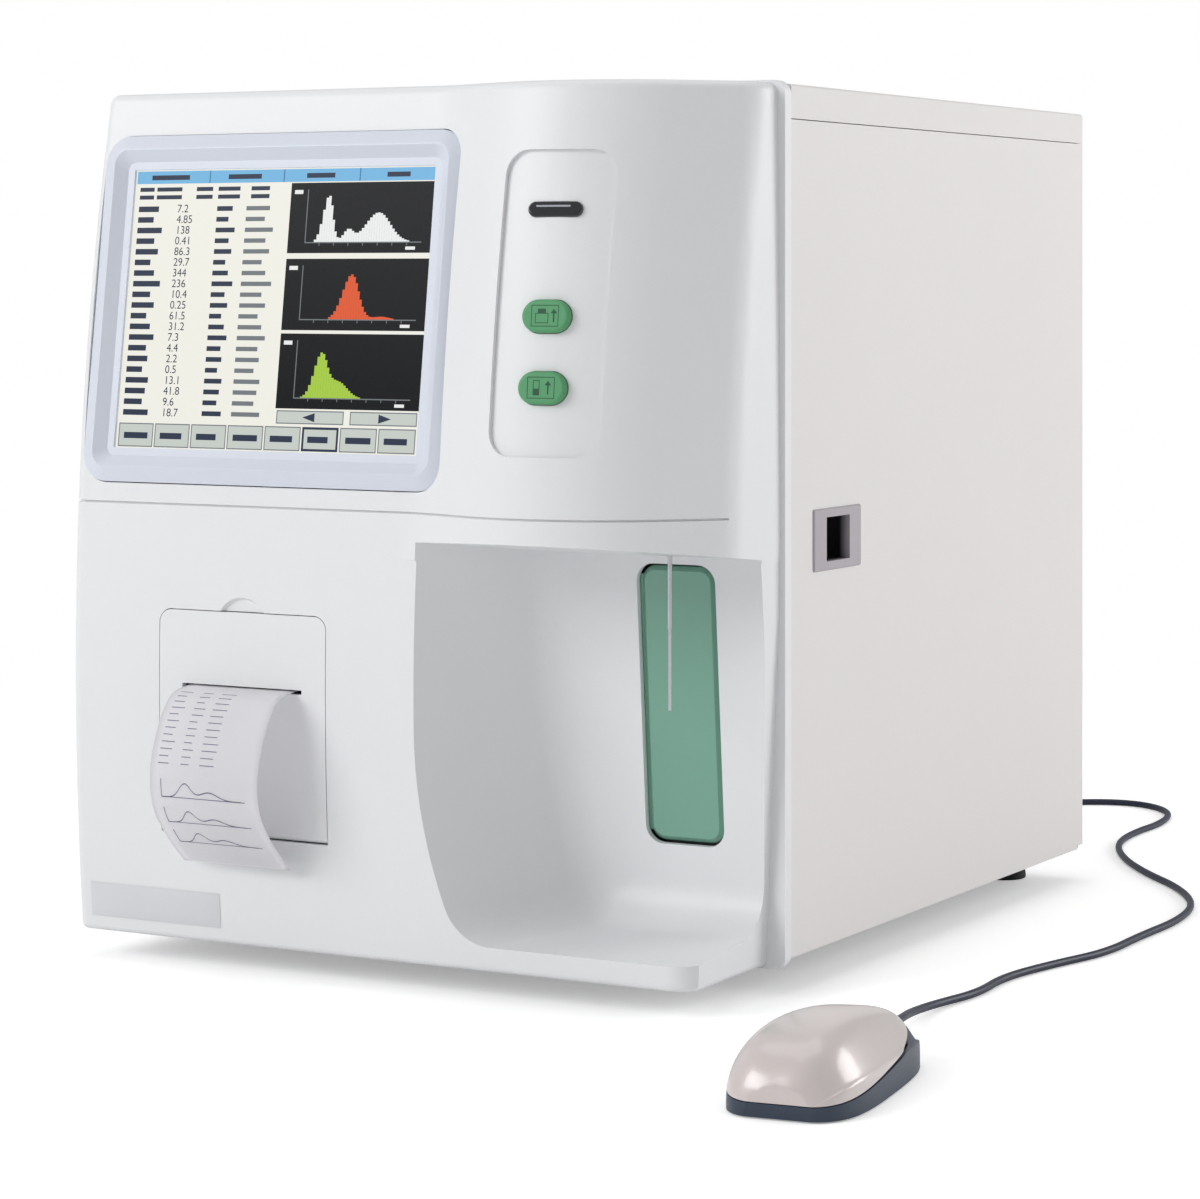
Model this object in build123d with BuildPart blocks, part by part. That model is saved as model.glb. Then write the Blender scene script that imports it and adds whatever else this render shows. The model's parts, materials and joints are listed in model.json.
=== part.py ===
"""Bench-top hematology analyzer with a moulded front cover, a folded sheet cabinet and a wired mouse.

Millimetres, +Z up, front towards -Y. The origin is on the bench, under the centre of the analyzer.
"""

import os
from math import asin, atan, cos, degrees, hypot, pi, radians, sin, sqrt, tan

from build123d import *

# Cabinet: folded sheet on four feet
cabinet_width = 327.0
cabinet_depth = 344.0
cabinet_top = 394.0
foot_height = 16.0
foot_radius = 12.0
sheet = 1.2
panel_gap = 0.4
lid_skirt = 15.0
fold = 11.0
fit_gap = 0.3
running_gap = 0.05

# Front cover: one moulding, its front face an arc seen from the side
cover_wall = 3.0
cover_depth = 81.0
cover_half = cabinet_width / 2 - 1.5
cover_bottom = 12.5
cover_top = 394.5
belly_height = 130.0
belly_radius = 1275.0
cover_corner = 6.0
cover_top_round = 5.0
cover_bottom_round = 3.0
shoulder_height = 188.0
side_draft = 7.5
shoulder_step = 0.4
rim_width = 6.0
rim_stand = 1.3
seam_height = 208.3
seam_width = 1.0
seam_depth = 1.2
seam_end = 46.0

# Nose: the swelling of the upper cover, in plan
nose_start = 23.0
nose_slope = 20.9
nose_apex = 99.0
nose_blend = 54.0
nose_radius = 77.5
flank_reach = 33.0
flank_radius = 25.0
ledge_corner = 15.0
ledge_end = cover_half - 5.0

# Sampling bay: open to the front and to the right
bay_left = 22.0
bay_floor = 23.0
bay_ceiling = 196.0
bay_ceiling_fall = 0.113
bay_wall_turn = 28.9
bay_floor_rise = 0.078
bay_sweep_height = 115.0
bay_sweep_radius = 250.0
bay_corner = 22.0
bay_back_low = 9.0
bay_back_lean = 0.08
bay_back_round = 20.0

# Screen
bezel_centre = -60.7
bezel_width = 192.5
bezel_low = 217.6
bezel_high = 374.7
bezel_radius = 13.0
bezel_stand = 1.2
bezel_ridge = 3.0
bezel_bevel = 6.0
bezel_sink = 1.2
bezel_rim = 3.5
bezel_depth = 7.0
hairline = 0.4
glass_thickness = 2.0
display_thickness = 9.0
display_border = 5.0

# Key panel: a shallow recess with a lamp and two keys
recess_centre = 90.4
recess_width = 50.0
recess_low = 234.5
recess_high = 364.7
recess_radius = 11.0
recess_depth = 2.2
key_width = 21.5
key_height = 14.0
key_stand = 3.2
key_travel = 1.5
key_heights = (294.0, 263.8)
key_flange = 2.0
key_round = 1.6
lamp_width = 24.5
lamp_height = 6.6
lamp_z = 339.5
lamp_stand = 0.6
key_board_thickness = 1.6

# Printer
door_left = -112.0
door_right = -23.5
door_low = 61.7
door_high = 161.3
door_corner = 6.0
door_thickness = 3.0
door_gap = 0.4
scoop_width = 24.0
scoop_height = 7.0
slot_width = 63.8
slot_height = 2.0
slot_z = 127.7
paper_width = 57.0
paper_thickness = 0.2
paper_bow = 29.0
paper_end = 50.0
roll_radius = 24.0
roll_core = 6.5
tub_depth = 68.0
tub_wall = 2.0
platen_radius = 5.0

# Probe and its drive
probe_x = cover_half - 36.5
probe_back = 40.0
probe_tip = 125.0
probe_step = 160.0
probe_radius = 0.75
sleeve_radius = 1.0
probe_travel = 60.0
screw_lead = 8.0
rod_radius = 3.0
screw_radius = 2.5
rod_spread = 20.0
carriage_height = 20.0
motor_side = 28.0

# Green plate in the bay's back wall
plate_left = 100.5
plate_width = 36.0
plate_low = 64.0
plate_height = 121.0
plate_radius = 7.0
plate_gap = 1.2

# Side door and its finger latch
latch_low = 181.0
latch_height = 27.5
latch_front = 21.8
latch_width = 48.9
pocket_width = 24.0
pocket_height = 19.5
pocket_depth = 13.0
pivot_radius = 2.0
pivot_inset = 4.0

# Rear fittings
fan_side = 80.0
fan_depth = 25.0
fan_x = -85.0
fan_z = 300.0
barb_reach = 14.0
inlet_x = -110.0
inlet_z = 70.0
port_x = 60.0
port_z = 58.0

# Mouse and its cord
mouse_x = 253.0
mouse_ahead = 152.0
mouse_heading = 7.0
mouse_click = 0.8
cord_diameter = 3.5
mouse_exit = 9.0
plug_reach = 34.0
relief_reach = 12.0
lead_route = [
    (70, 266, 58),
    (70, 286, 56.5),
    (67, 307, 49),
    (62, 326, 37),
    (56, 343, 23),
    (49.5, 358, 11),
    (44.5, 372, 5.6),
]
coil_centre = (24.0, 381.0)
coil_inner = 15.5
coil_outer = 25.0
coil_height = 7.2
cord_route = [
    (45.3, 392, 1.85),
    (48, 422, 1.85),
    (62, 458, 1.85),
    (97, 474, 1.85),
    (128, 451, 1.85),
    (139, 408, 1.85),
    (137, 364, 1.85),
    (143, 323, 1.85),
    (163, 280, 1.85),
    (190, 241, 1.85),
    (221, 206, 1.85),
    (244, 164, 1.85),
    (252, 118, 1.85),
    (250, 72, 1.85),
    (251, 26, 1.85),
    (240, -12, 1.85),
    (232, -52, 1.85),
    (236, -88, 1.85),
    (230, -120, 2.2),
    (232, -152, 4.4),
    (241.7, -183.7, 8.2),
    (244.5, -206.5, mouse_exit),
]

half_width = cabinet_width / 2
front_reach = cover_depth + paper_bow
rear_reach = cabinet_depth + barb_reach
parting_y = (front_reach - rear_reach) / 2
rear_y = parting_y + cabinet_depth
arc_y = parting_y - cover_depth + belly_radius
lid_line = cabinet_top - lid_skirt
floor_top = foot_height + sheet

os.makedirs("parts", exist_ok=True)


def save(name, label):
    """Label a finished piece and write it to its own file."""
    name.part.label = label
    export_step(name.part, f"parts/{label}.step")


def front_y(z, proud=0.0):
    """Y of the cover's arc at a height, or of a surface standing proud of it."""
    return arc_y - sqrt((belly_radius + proud) ** 2 - (z - belly_height) ** 2)


def nose_rise(x):
    """How far the nose stands proud of the flat front at x, on its round top."""
    centre_x = nose_peak_x
    return nose_centre + sqrt(nose_radius**2 - (x - centre_x) ** 2)


# The nose's round top, from the tangent lines it is drawn to
flank_x = cover_half - (cover_half - ledge_end) * (cover_depth - flank_reach) / cover_depth
apex_rise = (nose_apex - nose_start) * tan(radians(nose_slope))
flank_slope = degrees(atan((apex_rise + flank_reach) / (flank_x - nose_apex)))
nose_tangent = nose_radius * tan(radians(nose_slope + flank_slope) / 2)
nose_touch_x = nose_apex - nose_tangent * cos(radians(nose_slope))
nose_touch = apex_rise - nose_tangent * sin(radians(nose_slope))
nose_peak_x = nose_touch_x + nose_radius * sin(radians(nose_slope))
nose_centre = nose_touch - nose_radius * cos(radians(nose_slope))


def nose_plane(x, z, inset=0.0):
    """Plane on the nose's surface at x and z, facing out, or under it by inset."""
    proud = nose_rise(x)
    turn = asin((x - nose_peak_x) / nose_radius)
    lean = asin((z - belly_height) / (belly_radius + proud))
    out = Vector(sin(turn), -cos(turn) * cos(lean), cos(turn) * sin(lean))
    point = Vector(x, front_y(z, proud), z) - out * inset
    return Plane(origin=point, x_dir=Vector(cos(turn), sin(turn), 0), z_dir=out)


def cover_band(corners, radii, low, high, inset):
    """One height of the cover: a plan turned about the axis of the front's arc, then trimmed."""
    start = 7.0
    turn = 20.0
    plan = Plane(
        origin=(0, arc_y, belly_height),
        x_dir=(1, 0, 0),
        z_dir=(0, -sin(radians(start)), cos(radians(start))),
    )
    with BuildPart() as band:
        with BuildSketch(plan) as outline:
            with BuildLine():
                Polyline(*corners, close=True)
            make_face()
            for corner, radius in radii:
                fillet(outline.vertices().sort_by_distance(corner)[0], radius=radius)
            if inset:
                offset(amount=-inset, mode=Mode.REPLACE)
        revolve(axis=Axis((0, arc_y, belly_height), (-1, 0, 0)), revolution_arc=turn)
        with Locations((0, parting_y - cover_depth, (low + high) / 2)):
            Box(2 * cabinet_width, 2 * cover_depth, high - low, mode=Mode.INTERSECT)
    return band.part


def cover_body(inset=0.0):
    """Solid form of the cover, moved in by inset on every side but the parting."""
    hub = belly_radius - cover_depth
    back = -hub + 60
    front = -belly_radius
    ledge = [
        (-cover_half, back),
        (-cover_half, front),
        (ledge_end - shoulder_step, front),
        (cover_half - shoulder_step, -hub),
        (cover_half - shoulder_step, back),
    ]
    nose = [
        (-cover_half, back),
        (-cover_half, front),
        (nose_start, front),
        (nose_apex, front - apex_rise),
        (flank_x, front + flank_reach),
        (cover_half, -hub),
        (cover_half, back),
    ]
    ledge_radii = [(ledge[1], cover_corner), (ledge[2], ledge_corner)]
    nose_radii = [
        (nose[1], cover_corner),
        (nose[2], nose_blend),
        (nose[3], nose_radius),
        (nose[4], flank_radius),
    ]
    lower = cover_band(ledge, ledge_radii, cover_bottom + inset, shoulder_height, inset)
    upper = cover_band(nose, nose_radii, shoulder_height, cover_top - inset, inset)
    draft = atan(side_draft / (shoulder_height - cover_bottom))
    flank = Plane(
        origin=(cover_half - inset, 0, shoulder_height),
        x_dir=(0, 1, 0),
        z_dir=(cos(draft), 0, -sin(draft)),
    )
    with BuildPart() as foot:
        add(lower)
        split(bisect_by=flank, keep=Keep.BOTTOM)
        if not inset:
            under = foot.faces().sort_by(Axis.Z)[0].edges()
            fillet([e for e in under if e.center().Y < parting_y - 1], radius=cover_bottom_round)
    with BuildPart() as body:
        add(upper)
        if not inset:
            top = body.faces().sort_by(Axis.Z)[-1].edges()
            fillet([e for e in top if e.center().Y < parting_y - 1], radius=cover_top_round)
        add(foot.part)
    return body.part


def bay_space(grow=0.0):
    """Room of the sampling bay, or that room grown by a wall."""
    turn = radians(bay_wall_turn)
    run = Vector(sin(turn), cos(turn), bay_floor_rise * cos(turn)).normalized()
    front = Vector(0, parting_y - cover_depth, 0) - run * 45
    top = bay_ceiling + 60
    right = 260.0
    sweep_x = bay_left + bay_sweep_radius
    floor_x = sweep_x - sqrt(bay_sweep_radius**2 - (bay_sweep_height - bay_floor) ** 2)
    mid_z = (bay_sweep_height + bay_floor) / 2
    mid_x = sweep_x - sqrt(bay_sweep_radius**2 - (bay_sweep_height - mid_z) ** 2)
    ceiling = Plane(
        origin=(0, parting_y - cover_depth, bay_ceiling + grow),
        x_dir=(1, 0, 0),
        z_dir=(0, bay_ceiling_fall, 1),
    )
    back = Plane(
        origin=(0, parting_y - bay_back_low + grow, bay_floor),
        x_dir=(1, 0, 0),
        z_dir=(0, 1, bay_back_lean),
    )
    with BuildPart() as room:
        with BuildSketch(Plane(origin=front, x_dir=(1, 0, 0), z_dir=(0, -1, 0))) as outline:
            with BuildLine():
                Line((bay_left, top), (bay_left, bay_sweep_height))
                ThreePointArc((bay_left, bay_sweep_height), (mid_x, mid_z), (floor_x, bay_floor))
                Line((floor_x, bay_floor), (right, bay_floor))
                Line((right, bay_floor), (right, top))
                Line((right, top), (bay_left, top))
            make_face()
            fillet(outline.vertices().sort_by_distance((floor_x, bay_floor))[0], radius=bay_corner)
            if grow:
                offset(amount=grow, kind=Kind.INTERSECTION, mode=Mode.REPLACE)
        extrude(amount=170, dir=run)
        split(bisect_by=ceiling, keep=Keep.BOTTOM)
        split(bisect_by=back, keep=Keep.BOTTOM)
        wall = room.faces().filter_by(lambda f: abs(f.normal_at().Y) > 0.98).sort_by(Axis.Y)[-1]
        low_edges = [e for e in wall.edges() if e.center().X < right - 2 and e.center().Z < bay_ceiling - 12]
        fillet(low_edges, radius=bay_back_round)
    return room.part


def sheet_box(x, y, z):
    """Box between two corners in each direction, in the part that is being built."""
    with Locations(((x[0] + x[1]) / 2, (y[0] + y[1]) / 2, (z[0] + z[1]) / 2)):
        Box(abs(x[1] - x[0]), abs(y[1] - y[0]), abs(z[1] - z[0]))


def cut_box(x, y, z):
    """The same box, taken away from the part that is being built."""
    with Locations(((x[0] + x[1]) / 2, (y[0] + y[1]) / 2, (z[0] + z[1]) / 2)):
        Box(abs(x[1] - x[0]), abs(y[1] - y[0]), abs(z[1] - z[0]), mode=Mode.SUBTRACT)


# Screen panel plane, along the chord of the front's arc behind the bezel
panel_rise = bezel_high - bezel_low
panel_back = front_y(bezel_high) - front_y(bezel_low)
panel_slant = hypot(panel_rise, panel_back)
panel_out = Vector(0, -panel_rise, panel_back) / panel_slant
panel_mid = Vector(bezel_centre, (front_y(bezel_high) + front_y(bezel_low)) / 2, (bezel_low + bezel_high) / 2)
panel = Plane(origin=panel_mid + panel_out * bezel_stand, x_dir=(1, 0, 0), z_dir=panel_out)
bezel_margin = 2 * bezel_bevel + bezel_rim
window_width = bezel_width - 2 * bezel_margin
window_height = panel_slant - 2 * bezel_margin

# Bay's back wall and the plate behind its window
plate_x = plate_left + plate_width / 2
plate_z = plate_low + plate_height / 2
wall_y = parting_y - bay_back_low - bay_back_lean * (plate_z - bay_floor)
bay_wall = Plane(origin=(plate_x, wall_y, plate_z), x_dir=(1, 0, 0), z_dir=(0, -1, -bay_back_lean))
plate_recess = 1.5
plate_thickness = 4.0

# Printer places
door_x = (door_left + door_right) / 2
door_width = door_right - door_left
door_height = door_high - door_low
hinge_y = front_y(door_low) + door_thickness
hinge_z = door_low + door_thickness
ear_width = 3.0
stub_radius = 1.0
tub_front = parting_y - cover_depth + cover_wall + 2.2
tub_back = tub_front + tub_depth
platen_y = parting_y - 65.0
platen_z = slot_z - platen_radius - paper_thickness / 2 - 0.1
roll_y = parting_y - 41.0
roll_z = door_low - 1.0 + fit_gap + roll_radius

# Probe drive places
probe_y = parting_y - probe_back
drive_y = parting_y - 22.0
drive_low = bay_ceiling + 18.0
shelf = 3.0
drive_high = drive_low + carriage_height + probe_travel + 46.0
carriage_low = drive_low + 20.0
frame_y = parting_y - 5.0


def key_recess(grow=0.0):
    """Outline of the key panel's recess, as a prism through the cover's face."""
    with BuildPart() as prism:
        with BuildSketch(Plane.XZ.offset(-parting_y)):
            with Locations((recess_centre, (recess_low + recess_high) / 2)):
                RectangleRounded(
                    recess_width + 2 * grow,
                    recess_high - recess_low + 2 * grow,
                    recess_radius + grow,
                )
        extrude(amount=2 * cover_depth)
    return prism.part


# Front cover: the moulded shell with its bay, recesses and openings
outer = cover_body()
wall_inside = cover_body(cover_wall)
recess_inside = wall_inside - cover_body(cover_wall + recess_depth)
cavity = wall_inside - bay_space(cover_wall) - (recess_inside & key_recess(cover_wall))
seam_skin = outer - cover_body(seam_depth)
recess_skin = outer - cover_body(recess_depth)
rim_low = foot_height - 4.5
rim_high = cover_top + rim_stand - 0.3
key_planes = [nose_plane(recess_centre, z, recess_depth) for z in key_heights]
lamp_plane = nose_plane(recess_centre, lamp_z, recess_depth)
board_plane = nose_plane(recess_centre, sum(key_heights) / 2, recess_depth)
switch_top = 10.8
switch_height = 4.8
board_depth = switch_top + switch_height
boss_spots = [(-14.0, 29.0), (14.0, 29.0), (-14.0, -29.0), (14.0, -29.0)]

with BuildPart() as front_cover:
    add(outer)
    with BuildSketch(Plane.XZ.offset(-parting_y)):
        with Locations((0, (rim_low + rim_high) / 2)):
            RectangleRounded(cabinet_width + 0.4, rim_high - rim_low, cover_corner)
    extrude(amount=rim_width)
    add(cavity, mode=Mode.SUBTRACT)
    add(bay_space(), mode=Mode.SUBTRACT)
    # Keyboard bosses under the recess
    with BuildSketch(board_plane.offset(-board_depth)):
        with Locations(*boss_spots):
            Circle(3.0)
    extrude(amount=board_depth - cover_wall - 1.0)
    # Decorative seam round the face
    seam_box = Box(
        2 * cabinet_width,
        2 * cover_depth,
        seam_width,
        align=(Align.CENTER, Align.MAX, Align.CENTER),
        mode=Mode.PRIVATE,
    )
    add(seam_skin & Pos(0, parting_y - seam_end, seam_height) * seam_box, mode=Mode.SUBTRACT)
    # Recess of the key panel
    add(recess_skin & key_recess(), mode=Mode.SUBTRACT)
    # Opening for the screen bezel
    with BuildSketch(panel.offset(-20)):
        RectangleRounded(bezel_width + 2 * hairline, panel_slant + 2 * hairline, bezel_radius + hairline)
    extrude(amount=40, mode=Mode.SUBTRACT)
    # Key and lamp holes
    for plane in key_planes:
        with BuildSketch(plane.offset(-8)):
            SlotOverall(key_width + 2 * fit_gap, key_height + 2 * fit_gap)
        extrude(amount=16, mode=Mode.SUBTRACT)
    with BuildSketch(lamp_plane.offset(-8)):
        SlotOverall(lamp_width + 0.2, lamp_height + 0.2)
    extrude(amount=16, mode=Mode.SUBTRACT)
    # Printer opening, with blind notches for the hinge ears
    with BuildSketch(Plane.XZ.offset(-(parting_y - cover_depth + 8))) as printer_hole:
        with Locations((door_x, (door_low + door_high) / 2)):
            Rectangle(door_width + 2 * door_gap, door_height + 2 * door_gap)
        fillet(printer_hole.vertices().group_by(Axis.Y)[-1], radius=door_corner + door_gap)
    extrude(amount=16, mode=Mode.SUBTRACT)
    notch_y = front_y(door_low) + 1.2
    notch_x = door_gap + ear_width + 0.8
    notch_z = (door_low - 0.6, door_low + 2 * door_thickness + 0.9)
    cut_box((door_left - notch_x, door_left), (notch_y, notch_y + 8), notch_z)
    cut_box((door_right, door_right + notch_x), (notch_y, notch_y + 8), notch_z)
    # Thumb scoop over the printer door
    scoop_radius = (scoop_height**2 + (scoop_width / 2) ** 2) / (2 * scoop_height)
    scoop_z = door_high + scoop_height - scoop_radius
    with BuildSketch(Plane.XZ.offset(-(front_y(door_high) + 2.0))):
        with Locations((door_x, scoop_z)):
            Circle(scoop_radius - 1.2)
    extrude(amount=4, taper=-30, mode=Mode.SUBTRACT)
    # Window for the plate in the bay's back wall
    with BuildSketch(bay_wall.offset(-cover_wall - 2)):
        RectangleRounded(
            plate_width + 2 * plate_gap,
            plate_height + 2 * plate_gap,
            plate_radius + plate_gap,
        )
    extrude(amount=cover_wall + 6, mode=Mode.SUBTRACT)
    # Hole for the wash block in the bay's ceiling
    with Locations((probe_x, probe_y, bay_ceiling)):
        Cylinder(5.0, 30, mode=Mode.SUBTRACT)
save(front_cover, "front_cover")

# Screen bezel: a raised ridge round the window
with BuildPart() as screen_bezel:
    with BuildSketch(panel.offset(-bezel_depth)):
        RectangleRounded(bezel_width, panel_slant, bezel_radius)
    extrude(amount=bezel_depth)
    with BuildSketch(panel):
        RectangleRounded(bezel_width, panel_slant, bezel_radius)
    with BuildSketch(panel.offset(bezel_ridge)):
        RectangleRounded(bezel_width - 2 * bezel_bevel, panel_slant - 2 * bezel_bevel, bezel_radius - 5)
    loft()
    with BuildSketch(panel.offset(bezel_ridge)):
        RectangleRounded(
            bezel_width - 2 * bezel_bevel - 1.6, panel_slant - 2 * bezel_bevel - 1.6, bezel_radius - 6
        )
    with BuildSketch(panel.offset(-bezel_sink)):
        RectangleRounded(
            window_width + 2 * bezel_rim, window_height + 2 * bezel_rim, bezel_radius - 9
        )
    loft(mode=Mode.SUBTRACT)
    with BuildSketch(panel.offset(-bezel_depth)):
        Rectangle(window_width, window_height)
    extrude(amount=bezel_depth + bezel_ridge, mode=Mode.SUBTRACT)
    with BuildSketch(panel.offset(-bezel_depth)):
        Rectangle(
            window_width + 2 * (display_border + fit_gap),
            window_height + 2 * (display_border + fit_gap),
        )
    extrude(amount=bezel_depth - bezel_sink - 1.5, mode=Mode.SUBTRACT)
save(screen_bezel, "screen_bezel")

glass_top = bezel_sink + 1.5 + fit_gap
with BuildPart() as display_glass:
    with BuildSketch(panel.offset(-glass_top)):
        Rectangle(window_width + 2 * display_border, window_height + 2 * display_border)
    extrude(amount=-glass_thickness)
save(display_glass, "display_glass")

module_top = glass_top + glass_thickness
with BuildPart() as display_module:
    with BuildSketch(panel.offset(-module_top)):
        Rectangle(window_width + 2 * display_border, window_height + 2 * display_border)
    extrude(amount=-display_thickness)
    fillet(display_module.edges().filter_by(Axis.X, reverse=True).group_by(Axis.Y)[-1], radius=1.0)
save(display_module, "display_module")

bracket_top = module_top + display_thickness + fit_gap
with BuildPart() as display_bracket:
    with BuildSketch(panel.offset(-bracket_top)):
        RectangleRounded(window_width + 30, window_height + 14, 6)
        Rectangle(window_width - 30, window_height - 34, mode=Mode.SUBTRACT)
    extrude(amount=-sheet)
    for side in (-1, 1):
        leg_x = bezel_centre + side * (window_width / 2 + 15)
        leg = (bezel_low + 30, bezel_high - 30)
        with BuildSketch(Plane.YZ.offset(leg_x - (sheet if side > 0 else 0))):
            with BuildLine():
                top_y = (panel.origin - panel_out * bracket_top).Y
                lean = panel_back / panel_rise
                mid_z = panel.origin.Z
                Polyline(
                    (top_y + lean * (leg[0] - mid_z), leg[0]),
                    (parting_y - 0.2, leg[0]),
                    (parting_y - 0.2, leg[1]),
                    (top_y + lean * (leg[1] - mid_z), leg[1]),
                    close=True,
                )
            make_face()
        extrude(amount=sheet)
save(display_bracket, "display_bracket")

# Keys with a hidden flange and a stem, one body each
inner_nose = nose_radius - recess_depth - cover_wall
flange_half = key_width / 2 + key_flange
key_flange_top = cover_wall + flange_half**2 / (2 * inner_nose) + fit_gap
for label, plane in zip(("print_key", "sample_key"), key_planes):
    with BuildPart() as key:
        with BuildSketch(plane.offset(-key_flange_top - 0.5)):
            SlotOverall(key_width, key_height)
        extrude(amount=key_flange_top + 0.5 + key_stand)
        crown = key.faces().sort_by_distance(plane.origin + plane.z_dir * key_stand)[0]
        fillet(crown.edges(), radius=key_round)
        with BuildSketch(plane.offset(-key_flange_top)):
            SlotOverall(key_width + 2 * key_flange, key_height + 2 * key_flange)
        extrude(amount=-1.5)
        with BuildSketch(plane.offset(-key_flange_top)):
            Circle(2.2)
        extrude(amount=-(switch_top - key_travel - 0.3 - key_flange_top))
    save(key, label)

with BuildPart() as lamp_lens:
    with BuildSketch(lamp_plane.offset(-cover_wall)):
        SlotOverall(lamp_width, lamp_height)
    extrude(amount=cover_wall + lamp_stand)
    crown = lamp_lens.faces().sort_by_distance(lamp_plane.origin + lamp_plane.z_dir * lamp_stand)[0]
    fillet(crown.edges(), radius=0.5)
save(lamp_lens, "lamp_lens")

with BuildPart() as key_board:
    with BuildSketch(board_plane.offset(-board_depth)):
        Rectangle(38, 72)
    extrude(amount=-key_board_thickness)
    spots = [(0, plane.origin.Z - board_plane.origin.Z) for plane in key_planes]
    with BuildSketch(board_plane.offset(-board_depth)):
        with Locations(*spots):
            RectangleRounded(6.2, 6.2, 0.6)
    extrude(amount=3.6)
    with BuildSketch(board_plane.offset(-board_depth)):
        with Locations(*spots):
            Circle(1.7)
    extrude(amount=switch_height)
save(key_board, "key_board")

# Printer door: a piece of the cover's own skin with a rolled lower edge and two stub pins
door_prism_y = parting_y - cover_depth + 8
with BuildPart() as printer_door:
    with BuildSketch(Plane.XZ.offset(-door_prism_y)) as door_outline:
        with Locations((door_x, (hinge_z + door_high) / 2)):
            Rectangle(door_width, door_high - hinge_z)
        fillet(door_outline.vertices().group_by(Axis.Y)[-1], radius=door_corner)
    extrude(amount=16)
    add(outer - cover_body(door_thickness), mode=Mode.INTERSECT)
    with BuildSketch(Plane.YZ.offset(door_left)):
        with Locations((hinge_y, hinge_z)):
            Circle(door_thickness)
    extrude(amount=door_width)
    with BuildSketch(Plane.YZ.offset(door_left - ear_width)):
        with Locations((hinge_y, hinge_z)):
            Circle(stub_radius)
    extrude(amount=door_width + 2 * ear_width)
    cut_box(
        (door_x - slot_width / 2, door_x + slot_width / 2),
        (parting_y - cover_depth - 5, parting_y - cover_depth + 10),
        (slot_z - slot_height / 2, slot_z + slot_height / 2),
    )
save(printer_door, "printer_door")

# Printer tub with the ears that the door turns in
tub_low = door_low - 1.0
tub_high = door_high + 1.0
with BuildPart() as printer_tub:
    sheet_box(
        (door_left - 1 - tub_wall, door_right + 1 + tub_wall),
        (tub_front, tub_back),
        (tub_low - tub_wall, tub_high + tub_wall),
    )
    cut_box(
        (door_left - 1, door_right + 1), (tub_front - 1, tub_back - tub_wall), (tub_low, tub_high)
    )
    for x in (door_left - door_gap - 0.3 - ear_width, door_right + door_gap + 0.3):
        sheet_box(
            (x, x + ear_width),
            (hinge_y - 1.5, tub_front + 3),
            (hinge_z - 2.9, hinge_z + 2.9),
        )
    with BuildSketch(Plane.YZ.offset(door_left - 2 * ear_width)):
        with Locations((hinge_y, hinge_z)):
            Circle(stub_radius + running_gap)
    extrude(amount=door_width + 4 * ear_width, mode=Mode.SUBTRACT)
save(printer_tub, "printer_tub")

with BuildPart() as paper_roll:
    with BuildSketch(Plane.YZ.offset(door_x - paper_width / 2)):
        with Locations((roll_y, roll_z)):
            Circle(roll_radius)
            Circle(roll_core, mode=Mode.SUBTRACT)
    extrude(amount=paper_width)
save(paper_roll, "paper_roll")

frame_half = slot_width / 2 + 3
with BuildPart() as print_mechanism:
    for x in (door_x - frame_half - 2, door_x + frame_half):
        sheet_box((x, x + 2), (platen_y - 7, platen_y + 16), (platen_z - 8, slot_z + 14))
    sheet_box(
        (door_x - frame_half, door_x + frame_half),
        (platen_y - 5, platen_y + 16),
        (slot_z + 0.5, slot_z + 12),
    )
    sheet_box(
        (door_x - frame_half, door_x + frame_half), (platen_y + 12, platen_y + 16), (platen_z - 8, slot_z + 1)
    )
    sheet_box(
        (door_left - 1 + 0.3, door_right + 1 - 0.3),
        (platen_y + 16, platen_y + 18),
        (platen_z - 8, slot_z + 12),
    )
    with BuildSketch(Plane.YZ.offset(door_x - frame_half - 5)):
        with Locations((platen_y, platen_z)):
            Circle(1.5 + running_gap)
    extrude(amount=2 * frame_half + 10, mode=Mode.SUBTRACT)
save(print_mechanism, "print_mechanism")

with BuildPart() as platen_roller:
    with BuildSketch(Plane.YZ.offset(door_x - frame_half - 4)):
        with Locations((platen_y, platen_z)):
            Circle(1.5)
    extrude(amount=2 * frame_half + 8)
    with BuildSketch(Plane.YZ.offset(door_x - frame_half + 1)):
        with Locations((platen_y, platen_z)):
            Circle(platen_radius)
    extrude(amount=2 * frame_half - 2)
    with BuildSketch(Plane.YZ.offset(door_x + frame_half + 2.4)):
        with Locations((platen_y, platen_z)):
            Circle(6.0)
    extrude(amount=2.4)
save(platen_roller, "platen_roller")

# Paper strip: out of the slot, down in one bow and back towards the cover
paper_out = front_y(slot_z)
with BuildPart() as paper_strip:
    with BuildSketch(Plane.YZ.offset(door_x - paper_width / 2)):
        with BuildLine():
            flat_end = (paper_out - 2, slot_z)
            Line((platen_y - 3, slot_z), flat_end)
            Spline(
                flat_end,
                (paper_out - 0.72 * paper_bow, slot_z - 14),
                (paper_out - paper_bow, (slot_z + paper_end) / 2 - 2),
                (paper_out - 0.66 * paper_bow, paper_end + 18),
                (paper_out - 3.5, paper_end),
                tangents=((-1, 0), (0.75, -0.66)),
            )
        trace(line_width=paper_thickness)
    extrude(amount=paper_width)
save(paper_strip, "paper_strip")

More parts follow.
